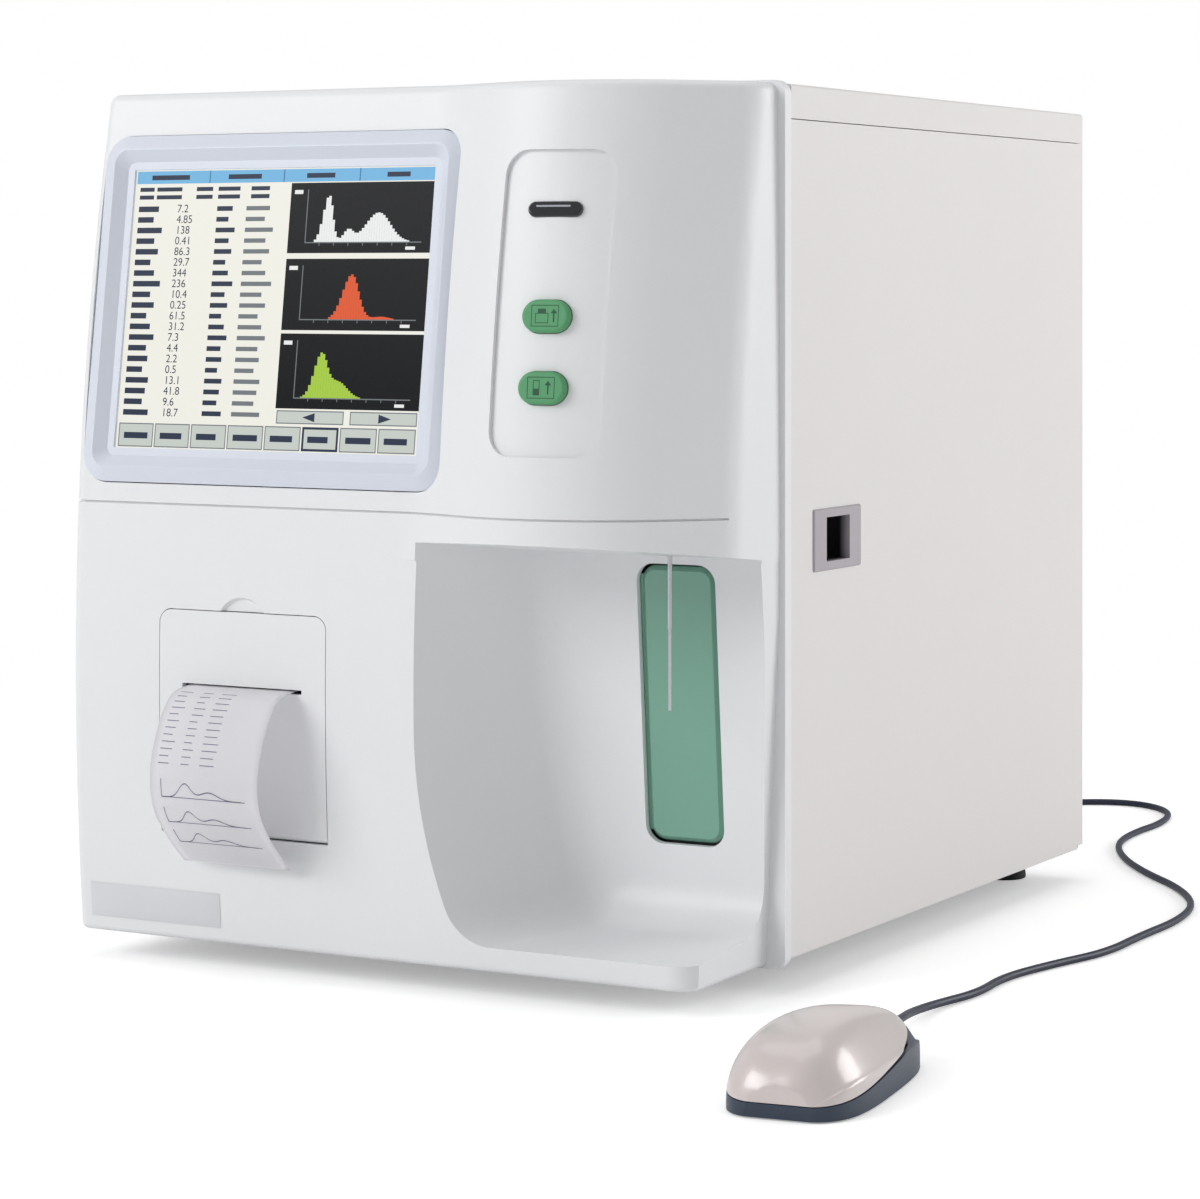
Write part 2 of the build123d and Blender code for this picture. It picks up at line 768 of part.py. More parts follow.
# Plate behind the bay's window
with BuildPart() as bay_plate:
    with BuildSketch(bay_wall.offset(-plate_recess - plate_thickness)):
        RectangleRounded(plate_width, plate_height, plate_radius)
    extrude(amount=plate_thickness)
    face = bay_plate.faces().sort_by_distance(bay_wall.origin - bay_wall.z_dir * plate_recess)[0]
    chamfer(face.edges(), length=2.0)
    flange_depth = cover_wall + fit_gap
    with BuildSketch(bay_wall.offset(-flange_depth)):
        RectangleRounded(plate_width + 2 * plate_gap + 8, plate_height - 8, 3)
    extrude(amount=flange_depth - plate_recess - plate_thickness)
save(bay_plate, "bay_plate")

# Probe, wash block and vertical drive
with BuildPart() as sample_probe:
    with Locations((probe_x, probe_y, probe_tip)):
        Cylinder(probe_radius, probe_step - probe_tip, align=(Align.CENTER, Align.CENTER, Align.MIN))
    with Locations((probe_x, probe_y, probe_step)):
        Cylinder(
            sleeve_radius,
            carriage_low + carriage_height + 6 - probe_step,
            align=(Align.CENTER, Align.CENTER, Align.MIN),
        )
save(sample_probe, "sample_probe")

ceiling_here = bay_ceiling - bay_ceiling_fall * (probe_y - parting_y + cover_depth)
with BuildPart() as wash_block:
    with Locations((probe_x, probe_y, ceiling_here + 0.5)):
        Cylinder(4.7, 12, align=(Align.CENTER, Align.CENTER, Align.MIN))
    with Locations((probe_x, probe_y, bay_ceiling + cover_wall + 1.5)):
        Cylinder(8.0, 10.5, align=(Align.CENTER, Align.CENTER, Align.MIN))
    sheet_box(
        (probe_x - 5, probe_x + 5),
        (probe_y, frame_y),
        (drive_low - 4, drive_low - 0.2),
    )
    with Locations((probe_x, probe_y, bay_ceiling)):
        Cylinder(sleeve_radius + running_gap, 60, mode=Mode.SUBTRACT)
save(wash_block, "wash_block")

with BuildPart() as probe_frame:
    sheet_box((probe_x - 32, probe_x + 25), (frame_y, frame_y + 2), (drive_low - 6, drive_high + 36))
    for z in (drive_low, drive_high):
        sheet_box((probe_x - 32, probe_x + 25), (drive_y - 12, frame_y), (z, z + shelf))
    for x in (-rod_spread, rod_spread):
        with Locations((probe_x + x, drive_y, (drive_low + drive_high) / 2)):
            Cylinder(rod_radius, 2 * (drive_high - drive_low), mode=Mode.SUBTRACT)
    with Locations((probe_x, drive_y, drive_low + shelf)):
        Cylinder(screw_radius + running_gap, 4 * shelf, mode=Mode.SUBTRACT)
    with Locations((probe_x, drive_y, drive_high)):
        Cylinder(screw_radius + 1.0, 4 * shelf, mode=Mode.SUBTRACT)
save(probe_frame, "probe_frame")

with BuildPart() as guide_rods:
    with Locations(*[(probe_x + x, drive_y, drive_low) for x in (-rod_spread, rod_spread)]):
        Cylinder(
            rod_radius, drive_high + shelf - drive_low, align=(Align.CENTER, Align.CENTER, Align.MIN)
        )
save(guide_rods, "guide_rods")

with BuildPart() as lead_screw:
    with Locations((probe_x, drive_y, drive_low + 0.5)):
        Cylinder(
            screw_radius, drive_high + shelf - drive_low - 0.5, align=(Align.CENTER, Align.CENTER, Align.MIN)
        )
save(lead_screw, "lead_screw")

with BuildPart() as probe_motor:
    with BuildSketch(Plane.XY.offset(drive_high + shelf)):
        with Locations((probe_x, drive_y)):
            Rectangle(motor_side, motor_side)
    extrude(amount=30)
    chamfer(probe_motor.edges().filter_by(Axis.Z), length=3)
    with Locations((probe_x, drive_y, drive_high + shelf)):
        Cylinder(screw_radius + 0.4, 10, mode=Mode.SUBTRACT)
save(probe_motor, "probe_motor")

with BuildPart() as probe_carriage:
    sheet_box(
        (probe_x - rod_spread - 7, probe_x + rod_spread + 7),
        (drive_y - 8, drive_y + 8),
        (carriage_low, carriage_low + carriage_height),
    )
    sheet_box(
        (probe_x - 6, probe_x + 6),
        (probe_y - 5, drive_y - 7),
        (carriage_low + 4, carriage_low + carriage_height - 4),
    )
    for x, radius in ((-rod_spread, rod_radius), (0, screw_radius), (rod_spread, rod_radius)):
        with Locations((probe_x + x, drive_y, carriage_low)):
            Cylinder(radius + running_gap, 4 * carriage_height, mode=Mode.SUBTRACT)
    with Locations((probe_x, probe_y, carriage_low)):
        Cylinder(sleeve_radius, 4 * carriage_height, mode=Mode.SUBTRACT)
save(probe_carriage, "probe_carriage")

# Cabinet: tray, front frame, side and rear panels, lid
front_in = parting_y + 0.3
tray_right = half_width - sheet - 0.5
edge_gap = 0.5
with BuildPart() as base_tray:
    sheet_box((-tray_right, tray_right), (front_in, rear_y - sheet - edge_gap), (foot_height, floor_top))
    sheet_box(
        (-tray_right, -tray_right + sheet),
        (front_in + sheet + edge_gap, rear_y - sheet - edge_gap),
        (foot_height, foot_height + fold),
    )
    sheet_box(
        (-tray_right, tray_right - fold - 3),
        (rear_y - 2 * sheet - edge_gap, rear_y - sheet - edge_gap),
        (foot_height, foot_height + fold),
    )
    vent_rows = [(-60 + 14 * i, parting_y + 210) for i in range(7)]
    with Locations(*[(x, y, foot_height) for x, y in vent_rows]):
        Box(5, 70, 8, mode=Mode.SUBTRACT)
save(base_tray, "base_tray")

frame_half_width = half_width - fold - 3
frame_top = lid_line + lid_skirt - sheet - edge_gap
with BuildPart() as front_frame:
    sheet_box((-half_width + sheet + edge_gap, frame_half_width), (front_in, front_in + sheet), (floor_top, frame_top))
    cut_box(
        (bezel_centre - 60, bezel_centre + 60), (front_in - 1, front_in + 3), (bezel_low + 35, bezel_high - 35)
    )
    cut_box((recess_centre - 52, recess_centre - 14), (front_in - 1, front_in + 3), (bezel_low, bezel_high - 25))
    cut_box((door_x - 30, door_x + 30), (front_in - 1, front_in + 3), (door_low + 18, door_high - 31))
    sheet_box(
        (frame_half_width - sheet, frame_half_width), (front_in, front_in + fold), (floor_top, lid_line - 16)
    )
save(front_frame, "front_frame")

with BuildPart() as left_panel:
    left_y = (parting_y + panel_gap, rear_y - sheet - edge_gap)
    left_z = (foot_height, lid_line - panel_gap)
    sheet_box((-half_width, -half_width + sheet), left_y, left_z)
    sheet_box(
        (-half_width, -half_width + fold), (left_y[1] - sheet, left_y[1]), (foot_height + fold + 1, left_z[1])
    )
    top_y = (front_in + sheet + edge_gap, left_y[1])
    sheet_box((-half_width, -half_width + fold), top_y, (left_z[1] - sheet, left_z[1]))
save(left_panel, "left_panel")

fan_hole = fan_side / 2 - 3
with BuildPart() as rear_panel:
    rear_edge = half_width - fold - edge_gap
    sheet_box((-half_width, rear_edge), (rear_y - sheet, rear_y), (foot_height, lid_line - edge_gap))
    with Locations(Pos(fan_x, rear_y, fan_z) * Rot(90, 0, 0)):
        Cylinder(fan_hole, 10, mode=Mode.SUBTRACT)
    cut_box((inlet_x - 14, inlet_x + 14), (rear_y - 5, rear_y + 5), (inlet_z - 24, inlet_z + 24))
    cut_box((port_x - 34, port_x + 16), (rear_y - 5, rear_y + 5), (port_z - 8, port_z + 8))
    with Locations(*[Pos(x, rear_y, 150) * Rot(90, 0, 0) for x in (-20, 5, 30, 55)]):
        Cylinder(5.1, 10, mode=Mode.SUBTRACT)
    with Locations(*[(60 + 10 * i, rear_y, 300) for i in range(8)]):
        Box(4, 10, 60, mode=Mode.SUBTRACT)
    sheet_box((rear_edge - sheet, rear_edge), (rear_y - fold, rear_y), (floor_top + 2, lid_line - 20))
save(rear_panel, "rear_panel")

with BuildPart() as top_lid:
    sheet_box((-half_width, half_width), (parting_y + panel_gap, rear_y), (lid_line, cabinet_top))
    fillet(top_lid.edges().filter_by(Axis.Y).group_by(Axis.Z)[-1], radius=1.5)
    cut_box(
        (-half_width + sheet, half_width - sheet),
        (parting_y, rear_y - sheet),
        (lid_line - 1, cabinet_top - sheet),
    )
save(top_lid, "top_lid")

# Side door: a folded panel that turns on two pins at its rear edge
pivot_x = half_width - pivot_inset
pivot_y = rear_y - pivot_inset
pull_y = parting_y + latch_front + latch_width / 2
pull_z = latch_low + latch_height / 2
door_bottom = foot_height
door_top = lid_line - panel_gap
arm_low = door_top - 2 * sheet - 0.6
with BuildPart() as side_door:
    sheet_box((half_width - sheet, half_width), (parting_y + panel_gap, rear_y), (door_bottom, door_top))
    for z in (floor_top + 0.6, door_top - sheet):
        sheet_box((half_width - fold, half_width), (parting_y + panel_gap, rear_y), (z, z + sheet))
    sheet_box(
        (half_width - fold, half_width),
        (parting_y + panel_gap, parting_y + panel_gap + sheet),
        (floor_top + 0.6, door_top),
    )
    sheet_box((half_width - 7, half_width), (rear_y - sheet, rear_y), (floor_top + 0.6, arm_low - sheet - 0.6))
    with Locations((pivot_x, pivot_y, 0)):
        Cylinder(pivot_radius + running_gap, 3 * cabinet_top, mode=Mode.SUBTRACT)
    # Corner cut away where the wall turns over the tray
    cut_box((half_width - 2 * sheet, half_width + 1), (pivot_y - 3, rear_y + 1), (door_bottom - 1, floor_top + 0.6))
    cut_box(
        (half_width - 5, half_width + 5),
        (pull_y - latch_width / 2 + 3, pull_y + latch_width / 2 - 3),
        (latch_low + 3, latch_low + latch_height - 3),
    )
save(side_door, "side_door")

with BuildPart() as pivot_pins:
    with Locations((pivot_x, pivot_y, floor_top)):
        Cylinder(pivot_radius, 4.5, align=(Align.CENTER, Align.CENTER, Align.MIN))
    with Locations((pivot_x, pivot_y, arm_low - sheet)):
        Cylinder(pivot_radius, door_top + 0.3 - arm_low + sheet, align=(Align.CENTER, Align.CENTER, Align.MIN))
    with BuildSketch(Plane.XY.offset(arm_low - sheet)):
        with Locations((pivot_x, pivot_y)):
            Circle(pivot_radius + 0.6)
        with Locations(((pivot_x + rear_edge) / 2 - 6, pivot_y - 0.2)):
            Rectangle(pivot_x - rear_edge + 12, 3.6)
    extrude(amount=sheet)
save(pivot_pins, "pivot_pins")

# Flush pull on the door: a frame with a cup behind it
with BuildPart() as pull_cup:
    with BuildSketch(Plane.YZ.offset(half_width)):
        with Locations((pull_y, pull_z)):
            RectangleRounded(latch_width, latch_height, 1.0)
    extrude(amount=0.9)
    chamfer(pull_cup.faces().sort_by(Axis.X)[-1].edges(), length=0.6)
    sheet_box(
        (half_width - pocket_depth - 1.5, half_width),
        (pull_y - latch_width / 2 + 3.3, pull_y + latch_width / 2 - 3.3),
        (latch_low + 3.3, latch_low + latch_height - 3.3),
    )
    cut_box(
        (half_width - pocket_depth, half_width + 5),
        (pull_y - pocket_width / 2, pull_y + pocket_width / 2),
        (pull_z - pocket_height / 2, pull_z + pocket_height / 2),
    )
    cut_box(
        (half_width - pocket_depth, half_width - 4),
        (pull_y - pocket_width / 2, pull_y + pocket_width / 2 + 6),
        (pull_z - pocket_height / 2, pull_z + pocket_height / 2),
    )
save(pull_cup, "pull_cup")

with BuildPart() as door_magnets:
    for z in (60, lid_line - 60):
        sheet_box(
            (frame_half_width + 0.3, frame_half_width + 9), (front_in + sheet + 1.0, front_in + 12), (z - 15, z + 15)
        )
save(door_magnets, "door_magnets")

with BuildPart() as feet:
    for side in (-1, 1):
        for x, y in ((half_width - 63.5, parting_y + 60), (half_width - 37.5, rear_y - 16)):
            with Locations((side * x, y, 0)):
                Cone(foot_radius, foot_radius - 2, foot_height, align=(Align.CENTER, Align.CENTER, Align.MIN))
    fillet(feet.edges().group_by(Axis.Z)[0], radius=1.2)
save(feet, "feet")

# Rear fittings
with BuildPart() as fan_housing:
    fan_y = (rear_y - sheet - fan_depth, rear_y - sheet)
    sheet_box((fan_x - fan_side / 2, fan_x + fan_side / 2), fan_y, (fan_z - fan_side / 2, fan_z + fan_side / 2))
    fillet(fan_housing.edges().filter_by(Axis.Y), radius=4)
    with Locations(Pos(fan_x, sum(fan_y) / 2, fan_z) * Rot(90, 0, 0)):
        Cylinder(fan_hole, 2 * fan_depth, mode=Mode.SUBTRACT)
    with Locations(Pos(fan_x, fan_y[0] + 2, fan_z) * Rot(90, 0, 0)):
        Cylinder(15, 4)
    for turn in (45, 135):
        with Locations(Pos(fan_x, fan_y[0] + 1.5, fan_z) * Rot(0, turn, 0)):
            Box(2 * fan_hole + 1, 3, 4)
    with Locations(Pos(fan_x, fan_y[0] + 4, fan_z) * Rot(90, 0, 0)):
        Cylinder(2.05, 14, mode=Mode.SUBTRACT)
save(fan_housing, "fan_housing")

with BuildPart() as fan_rotor:
    hub_y = fan_y[0] + 4.3
    with Locations(Pos(fan_x, (hub_y + fan_y[1] - 1.5) / 2, fan_z) * Rot(90, 0, 0)):
        Cylinder(14.5, fan_y[1] - 1.5 - hub_y)
    for i in range(7):
        blade = Pos(fan_x, (hub_y + fan_y[1] - 1.5) / 2, fan_z) * Rot(0, i * 360 / 7, 0) * Pos(0, 0, 24.2) * Rot(0, 0, 35)
        with Locations(blade):
            Box(22, 1.6, 20.4)
    with Locations(Pos(fan_x, hub_y - 2.5, fan_z) * Rot(90, 0, 0)):
        Cylinder(2.0, 6)
    ring = Pos(fan_x, (hub_y + fan_y[1]) / 2, fan_z) * Rot(90, 0, 0)
    with Locations(ring):
        Cylinder(fan_hole - 1.0, 40, mode=Mode.INTERSECT)
save(fan_rotor, "fan_rotor")

with BuildPart() as fan_guard:
    with BuildSketch(Plane.XZ.offset(-rear_y - 1.5)):
        with Locations((fan_x, fan_z)):
            for radius in (10, 19, 28, fan_hole + 1.5):
                Circle(radius)
                Circle(radius - 1.6, mode=Mode.SUBTRACT)
        for turn in (45, 135):
            with Locations(Location((fan_x, fan_z, 0), (0, 0, turn))):
                Rectangle(2 * fan_hole + 12, 1.6)
    extrude(amount=1.5)
save(fan_guard, "fan_guard")

with BuildPart() as power_inlet:
    sheet_box((inlet_x - 15.5, inlet_x + 15.5), (rear_y, rear_y + 2.5), (inlet_z - 30, inlet_z + 30))
    sheet_box((inlet_x - 13.5, inlet_x + 13.5), (rear_y - 24, rear_y + 1), (inlet_z - 23.5, inlet_z + 23.5))
    cut_box((inlet_x - 12, inlet_x + 12), (rear_y - 16, rear_y + 5), (inlet_z - 21, inlet_z - 3))
    cut_box((inlet_x - 7, inlet_x + 7), (rear_y - 12, rear_y + 5), (inlet_z + 1, inlet_z + 21))
    with Locations(*[Pos(inlet_x + x, rear_y - 9, inlet_z - 12) * Rot(90, 0, 0) for x in (-7, 0, 7)]):
        Box(2, 4, 15)
    with Locations(Pos(inlet_x, rear_y - 4, inlet_z + 11) * Rot(0, 90, 0)):
        Cylinder(1.05, 22, mode=Mode.SUBTRACT)
save(power_inlet, "power_inlet")

with BuildPart() as power_rocker:
    with BuildSketch(Plane.YZ.offset(inlet_x - 6.6)):
        with BuildLine():
            Polyline(
                (rear_y - 6.5, inlet_z + 8),
                (rear_y - 6.5, inlet_z + 14),
                (rear_y + 0.4, inlet_z + 19.2),
                (rear_y + 3.4, inlet_z + 18.6),
                (rear_y + 1.6, inlet_z + 11),
                (rear_y + 3.4, inlet_z + 3.4),
                (rear_y + 0.4, inlet_z + 2.8),
                close=True,
            )
        make_face()
    extrude(amount=13.2)
    with Locations(Pos(inlet_x, rear_y - 4, inlet_z + 11) * Rot(0, 90, 0)):
        Cylinder(1.0, 18)
save(power_rocker, "power_rocker")

with BuildPart() as data_ports:
    sheet_box((port_x - 38, port_x + 20), (rear_y, rear_y + 1.2), (port_z - 11, port_z + 11))
    for x, width, height in ((-24, 16, 9), (-4, 12, 11), (10, 12, 5)):
        sheet_box(
            (port_x + x - width / 2, port_x + x + width / 2), (rear_y - 12, rear_y + 1.0), (port_z - 7, port_z + 7)
        )
        cut_box(
            (port_x + x - width / 2 + 1.2, port_x + x + width / 2 - 1.2),
            (rear_y - 9, rear_y + 3),
            (port_z - height / 2 + 0.6, port_z + height / 2 - 0.6),
        )
save(data_ports, "data_ports")

barb_xs = (-20, 5, 30, 55)
barb_z = 150
with BuildPart() as hose_barbs:
    for x in barb_xs:
        with BuildSketch(Plane(origin=(x, rear_y, barb_z), x_dir=(1, 0, 0), z_dir=(0, 0, 1))) as profile:
            with BuildLine():
                Polyline(
                    (1.5, -12),
                    (4.9, -12),
                    (4.9, 0),
                    (7.5, 0),
                    (7.5, 3.0),
                    (3.0, 3.0),
                    (3.0, 6.5),
                    (3.6, 6.5),
                    (2.6, 10),
                    (3.2, 10),
                    (2.2, barb_reach),
                    (1.5, barb_reach),
                    close=True,
                )
            make_face()
        revolve(axis=Axis((x, rear_y, barb_z), (0, 1, 0)))
save(hose_barbs, "hose_barbs")

with BuildPart() as case_screws:
    rear_spots = [(-half_width + 12, 60), (-half_width + 12, 340), (rear_edge - 8, 40), (rear_edge - 8, 360)]
    for x, z in rear_spots + [(-100, lid_line + 7), (100, lid_line + 7)]:
        with Locations(Pos(x, rear_y + 0.9, z) * Rot(-90, 0, 0)):
            Cylinder(3.2, 1.8)
save(case_screws, "case_screws")

# Inside: a partition with the fluid parts on its right, boards and supply on its left
wall_x = 56.0
wall_top = cabinet_top - 28
with BuildPart() as partition:
    sheet_box((wall_x, wall_x + sheet), (parting_y + 14, rear_y - 16), (floor_top, wall_top))
    sheet_box((wall_x, wall_x + 14), (parting_y + 14, rear_y - 16), (floor_top, floor_top + sheet))
    sheet_box((wall_x - 10, wall_x + sheet), (parting_y + 14, rear_y - 16), (wall_top - sheet, wall_top))
save(partition, "partition")

bath_y = (parting_y + 70, parting_y + 140)
bath_top = 300.0
bath_x = wall_x + sheet + 24
with BuildPart() as counting_baths:
    for y in bath_y:
        with BuildSketch(Plane(origin=(bath_x, y, bath_top), x_dir=(1, 0, 0), z_dir=(0, -1, 0))):
            with BuildLine():
                Polyline(
                    (14, 0),
                    (16, 0),
                    (16, -40),
                    (4, -56),
                    (4, -66),
                    (2, -66),
                    (2, -55),
                    (14, -39),
                    close=True,
                )
            make_face()
        revolve(axis=Axis((bath_x, y, 0), (0, 0, 1)))
save(counting_baths, "counting_baths")

with BuildPart() as bath_bracket:
    sheet_box((wall_x + sheet, wall_x + sheet + 3), (bath_y[0] - 26, bath_y[1] + 26), (bath_top - 36, bath_top + 8))
    sheet_box((wall_x + sheet, bath_x + 20), (bath_y[0] - 26, bath_y[1] + 26), (bath_top - 30, bath_top - 22))
    for y in bath_y:
        with Locations((bath_x, y, bath_top - 26)):
            Cylinder(16.2, 30, mode=Mode.SUBTRACT)
save(bath_bracket, "bath_bracket")

valve_z = 190.0
valve_ys = [parting_y + 50 + 24 * i for i in range(6)]
with BuildPart() as valve_manifold:
    sheet_box((wall_x + sheet, wall_x + sheet + 12), (valve_ys[0] - 14, valve_ys[-1] + 14), (valve_z - 10, valve_z + 10))
    for y in valve_ys:
        with Locations((wall_x + sheet + 6, y, valve_z)):
            Cylinder(2.0, 40, mode=Mode.SUBTRACT)
    for y in valve_ys:
        with Locations(Pos(wall_x + sheet + 12 + 15, y, valve_z) * Rot(0, 90, 0)):
            Cylinder(9.0, 30)
        with Locations((wall_x + sheet + 12 + 18, y, valve_z)):
            Box(20, 19.5, 19.5)
save(valve_manifold, "valve_manifold")

# Syringe unit: two barrels, and a motor that draws the bar of both pistons by its rod
syringe_y = parting_y + 232
barrel_low = 196.0
barrel_tall = 74.0
barrel_spread = 22.0
piston_travel = 45.0
syringe_x = wall_x + sheet + 30
with BuildPart() as syringe_frame:
    sheet_box((wall_x + sheet, wall_x + sheet + 3), (syringe_y - 44, syringe_y + 44), (70, 290))
    for z in (74, barrel_low - 6, barrel_low + barrel_tall):
        sheet_box((wall_x + sheet, syringe_x + 14), (syringe_y - 44, syringe_y + 44), (z, z + 6))
    for dy in (-barrel_spread, barrel_spread):
        with Locations((syringe_x, syringe_y + dy, barrel_low)):
            Cylinder(2.6, 60, mode=Mode.SUBTRACT)
    with Locations((syringe_x, syringe_y, 70)):
        Cylinder(3.0 + running_gap, 300, mode=Mode.SUBTRACT)
save(syringe_frame, "syringe_frame")

with BuildPart() as syringe_barrels:
    for dy, bore in ((-barrel_spread, 8.0), (barrel_spread, 5.0)):
        with Locations((syringe_x, syringe_y + dy, barrel_low)):
            Cylinder(bore + 2, barrel_tall, align=(Align.CENTER, Align.CENTER, Align.MIN))
            Cylinder(bore, 2 * (barrel_tall - 4), mode=Mode.SUBTRACT)
save(syringe_barrels, "syringe_barrels")

piston_low = 140.0
with BuildPart() as syringe_pistons:
    sheet_box((syringe_x - 10, syringe_x + 12), (syringe_y - 34, syringe_y + 34), (piston_low - 10, piston_low))
    for dy, bore in ((-barrel_spread, 8.0), (barrel_spread, 5.0)):
        with Locations((syringe_x, syringe_y + dy, piston_low)):
            Cylinder(2.2, 104, align=(Align.CENTER, Align.CENTER, Align.MIN))
        with Locations((syringe_x, syringe_y + dy, piston_low + 104)):
            Cylinder(bore - 0.05, 12, align=(Align.CENTER, Align.CENTER, Align.MIN))
    with Locations((syringe_x, syringe_y, piston_low)):
        Cylinder(3.0, piston_low - 66, align=(Align.CENTER, Align.CENTER, Align.MAX))
save(syringe_pistons, "syringe_pistons")

with BuildPart() as syringe_motor:
    with Locations((syringe_x, syringe_y, 74)):
        Box(28, 35, 44, align=(Align.CENTER, Align.CENTER, Align.MAX))
    chamfer(syringe_motor.edges().filter_by(Axis.Z), length=3)
    with Locations((syringe_x, syringe_y, 74)):
        Cylinder(3.0 + running_gap, 100, mode=Mode.SUBTRACT)
save(syringe_motor, "syringe_motor")

# Vacuum jar and pump on the floor
jar_y = parting_y + 60
with BuildPart() as waste_jar:
    with Locations((wall_x + sheet + 42, jar_y, floor_top)):
        Cylinder(26, 100, align=(Align.CENTER, Align.CENTER, Align.MIN))
        Cylinder(23.5, 194, mode=Mode.SUBTRACT)
    with Locations((wall_x + sheet + 42, jar_y, floor_top)):
        Cylinder(26, 3, align=(Align.CENTER, Align.CENTER, Align.MIN))
    with Locations((wall_x + sheet + 42, jar_y, floor_top + 100)):
        Cylinder(28, 12, align=(Align.CENTER, Align.CENTER, Align.MIN))
    with Locations(*[(wall_x + sheet + 42 + d, jar_y, floor_top + 112) for d in (-12, 12)]):
        Cylinder(3, 12, align=(Align.CENTER, Align.CENTER, Align.MIN))
save(waste_jar, "waste_jar")

pump_y = parting_y + 145
with BuildPart() as vacuum_pump:
    sheet_box((wall_x + 20, wall_x + 66), (pump_y - 30, pump_y + 30), (floor_top, floor_top + 6))
    with Locations(Pos(wall_x + 43, pump_y - 4, floor_top + 34) * Rot(90, 0, 0)):
        Cylinder(20, 44)
    sheet_box((wall_x + 35, wall_x + 51), (pump_y - 24, pump_y + 16), (floor_top + 5, floor_top + 20))
    sheet_box((wall_x + 24, wall_x + 62), (pump_y + 16, pump_y + 30), (floor_top + 4, floor_top + 60))
save(vacuum_pump, "vacuum_pump")

with BuildPart() as power_supply:
    sheet_box((-half_width + 13.5, -half_width + 113.5), (rear_y - 210, rear_y - 40), (floor_top, floor_top + 44))
    chamfer(power_supply.edges().filter_by(Axis.Z), length=1.5)
save(power_supply, "power_supply")

with BuildPart() as main_board:
    sheet_box((wall_x - 8.6, wall_x - 7), (parting_y + 60, parting_y + 260), (90, 300))
    for y in (parting_y + 70, parting_y + 250):
        for z in (100, 290):
            with Locations(Pos(wall_x - 3.5, y, z) * Rot(0, 90, 0)):
                Cylinder(3, 7)
    for y, z, wide, tall, thick in ((100, 240, 30, 30, 3), (160, 200, 24, 40, 4), (220, 260, 40, 12, 9)):
        sheet_box(
            (wall_x - 8 - thick, wall_x - 8),
            (parting_y + y - wide / 2, parting_y + y + wide / 2),
            (z - tall / 2, z + tall / 2),
        )
save(main_board, "main_board")

# Mouse: a one-piece top hinged at the palm end, over a base on glide pads
mouse_stations = [
    (-59, 13, 12),
    (-55, 20, 19),
    (-47, 24.5, 26),
    (-33, 27, 30),
    (-12, 27.5, 31),
    (12, 27, 29),
    (33, 25.5, 25.5),
    (47, 22.5, 21.5),
    (55, 18.5, 18),
    (59, 12.5, 14),
]
mouse_wall = 2.0
pad_height = 0.6
mouse_at = Pos(mouse_x, parting_y - mouse_ahead, 0) * Rot(0, 0, mouse_heading)
split_low = (5.8, 15.9)
split_high = (6.2, 18.1)
mouse_end = mouse_stations[-1][0]
mouse_pivot = (-46.0, 6.0)


def mouse_form(inset):
    """The whole mouse, or the space inside its wall."""
    with BuildPart() as form:
        for station, half, tall in mouse_stations:
            reach = station * (1 - inset / mouse_end)
            with BuildSketch(Plane(origin=(0, reach, pad_height + inset), x_dir=(1, 0, 0), z_dir=(0, -1, 0))):
                rise = tall - pad_height - 2 * inset
                wide = half - inset
                with BuildLine():
                    crown = Spline(
                        (-wide, 0),
                        (-0.94 * wide, 0.48 * rise),
                        (-0.62 * wide, 0.88 * rise),
                        (0, rise),
                        (0.62 * wide, 0.88 * rise),
                        (0.94 * wide, 0.48 * rise),
                        (wide, 0),
                        tangents=((0, 1), (0, -1)),
                    )
                    Line(crown @ 1, crown @ 0)
                make_face()
        loft()
    return form.part


def wedge(heights, top):
    """Everything above or below a slanted plane through the mouse."""
    with BuildPart() as space:
        with BuildSketch(Plane.YZ.offset(-40)):
            with BuildLine():
                Polyline(
                    (-mouse_end - 9, heights[0] - 9 * (heights[1] - heights[0]) / (2 * mouse_end)),
                    (mouse_end + 9, heights[1] + 9 * (heights[1] - heights[0]) / (2 * mouse_end)),
                    (mouse_end + 9, top),
                    (-mouse_end - 9, top),
                    close=True,
                )
            make_face()
        extrude(amount=80)
    return space.part


mouse_outer = mouse_form(0)
mouse_inner = mouse_form(mouse_wall)
mouse_top = mouse_at * ((mouse_outer - mouse_inner) & wedge(split_high, 60))
mouse_bottom = mouse_at * ((mouse_outer - mouse_inner) & wedge(split_low, -20))
pivot_at = mouse_at * Pos(0, *mouse_pivot) * Rot(0, 90, 0)
upright = (Align.CENTER, Align.CENTER, Align.MIN)
with BuildPart() as mouse_shell:
    add(mouse_top)
    with Locations(*[mouse_at * Pos(x, mouse_pivot[0], 3.6) for x in (-9, 9)]):
        Box(3, 7, 17, align=upright)
    with Locations(pivot_at):
        Cylinder(1.0 + running_gap, 40, mode=Mode.SUBTRACT)
save(mouse_shell, "mouse_shell")

with BuildPart() as mouse_base:
    add(mouse_bottom)
    with Locations(*[mouse_at * Pos(x, mouse_pivot[0], 1.6) for x in (-13, 13)]):
        Box(3, 6, 7, align=upright)
    with Locations(pivot_at):
        Cylinder(1.0, 40, mode=Mode.SUBTRACT)
    with Locations(mouse_at * Pos(0, mouse_end - 6, mouse_exit) * Rot(-90, 0, 0)):
        Cylinder(2.6, 13, align=upright)
    with Locations(mouse_at * Pos(0, mouse_end + 7, mouse_exit) * Rot(-90, 0, 0)):
        Cone(2.6, 2.1, 4, align=upright)
save(mouse_base, "mouse_base")

with BuildPart() as mouse_pivot_pin:
    with Locations(pivot_at):
        Cylinder(1.0, 29)
save(mouse_pivot_pin, "mouse_pivot_pin")

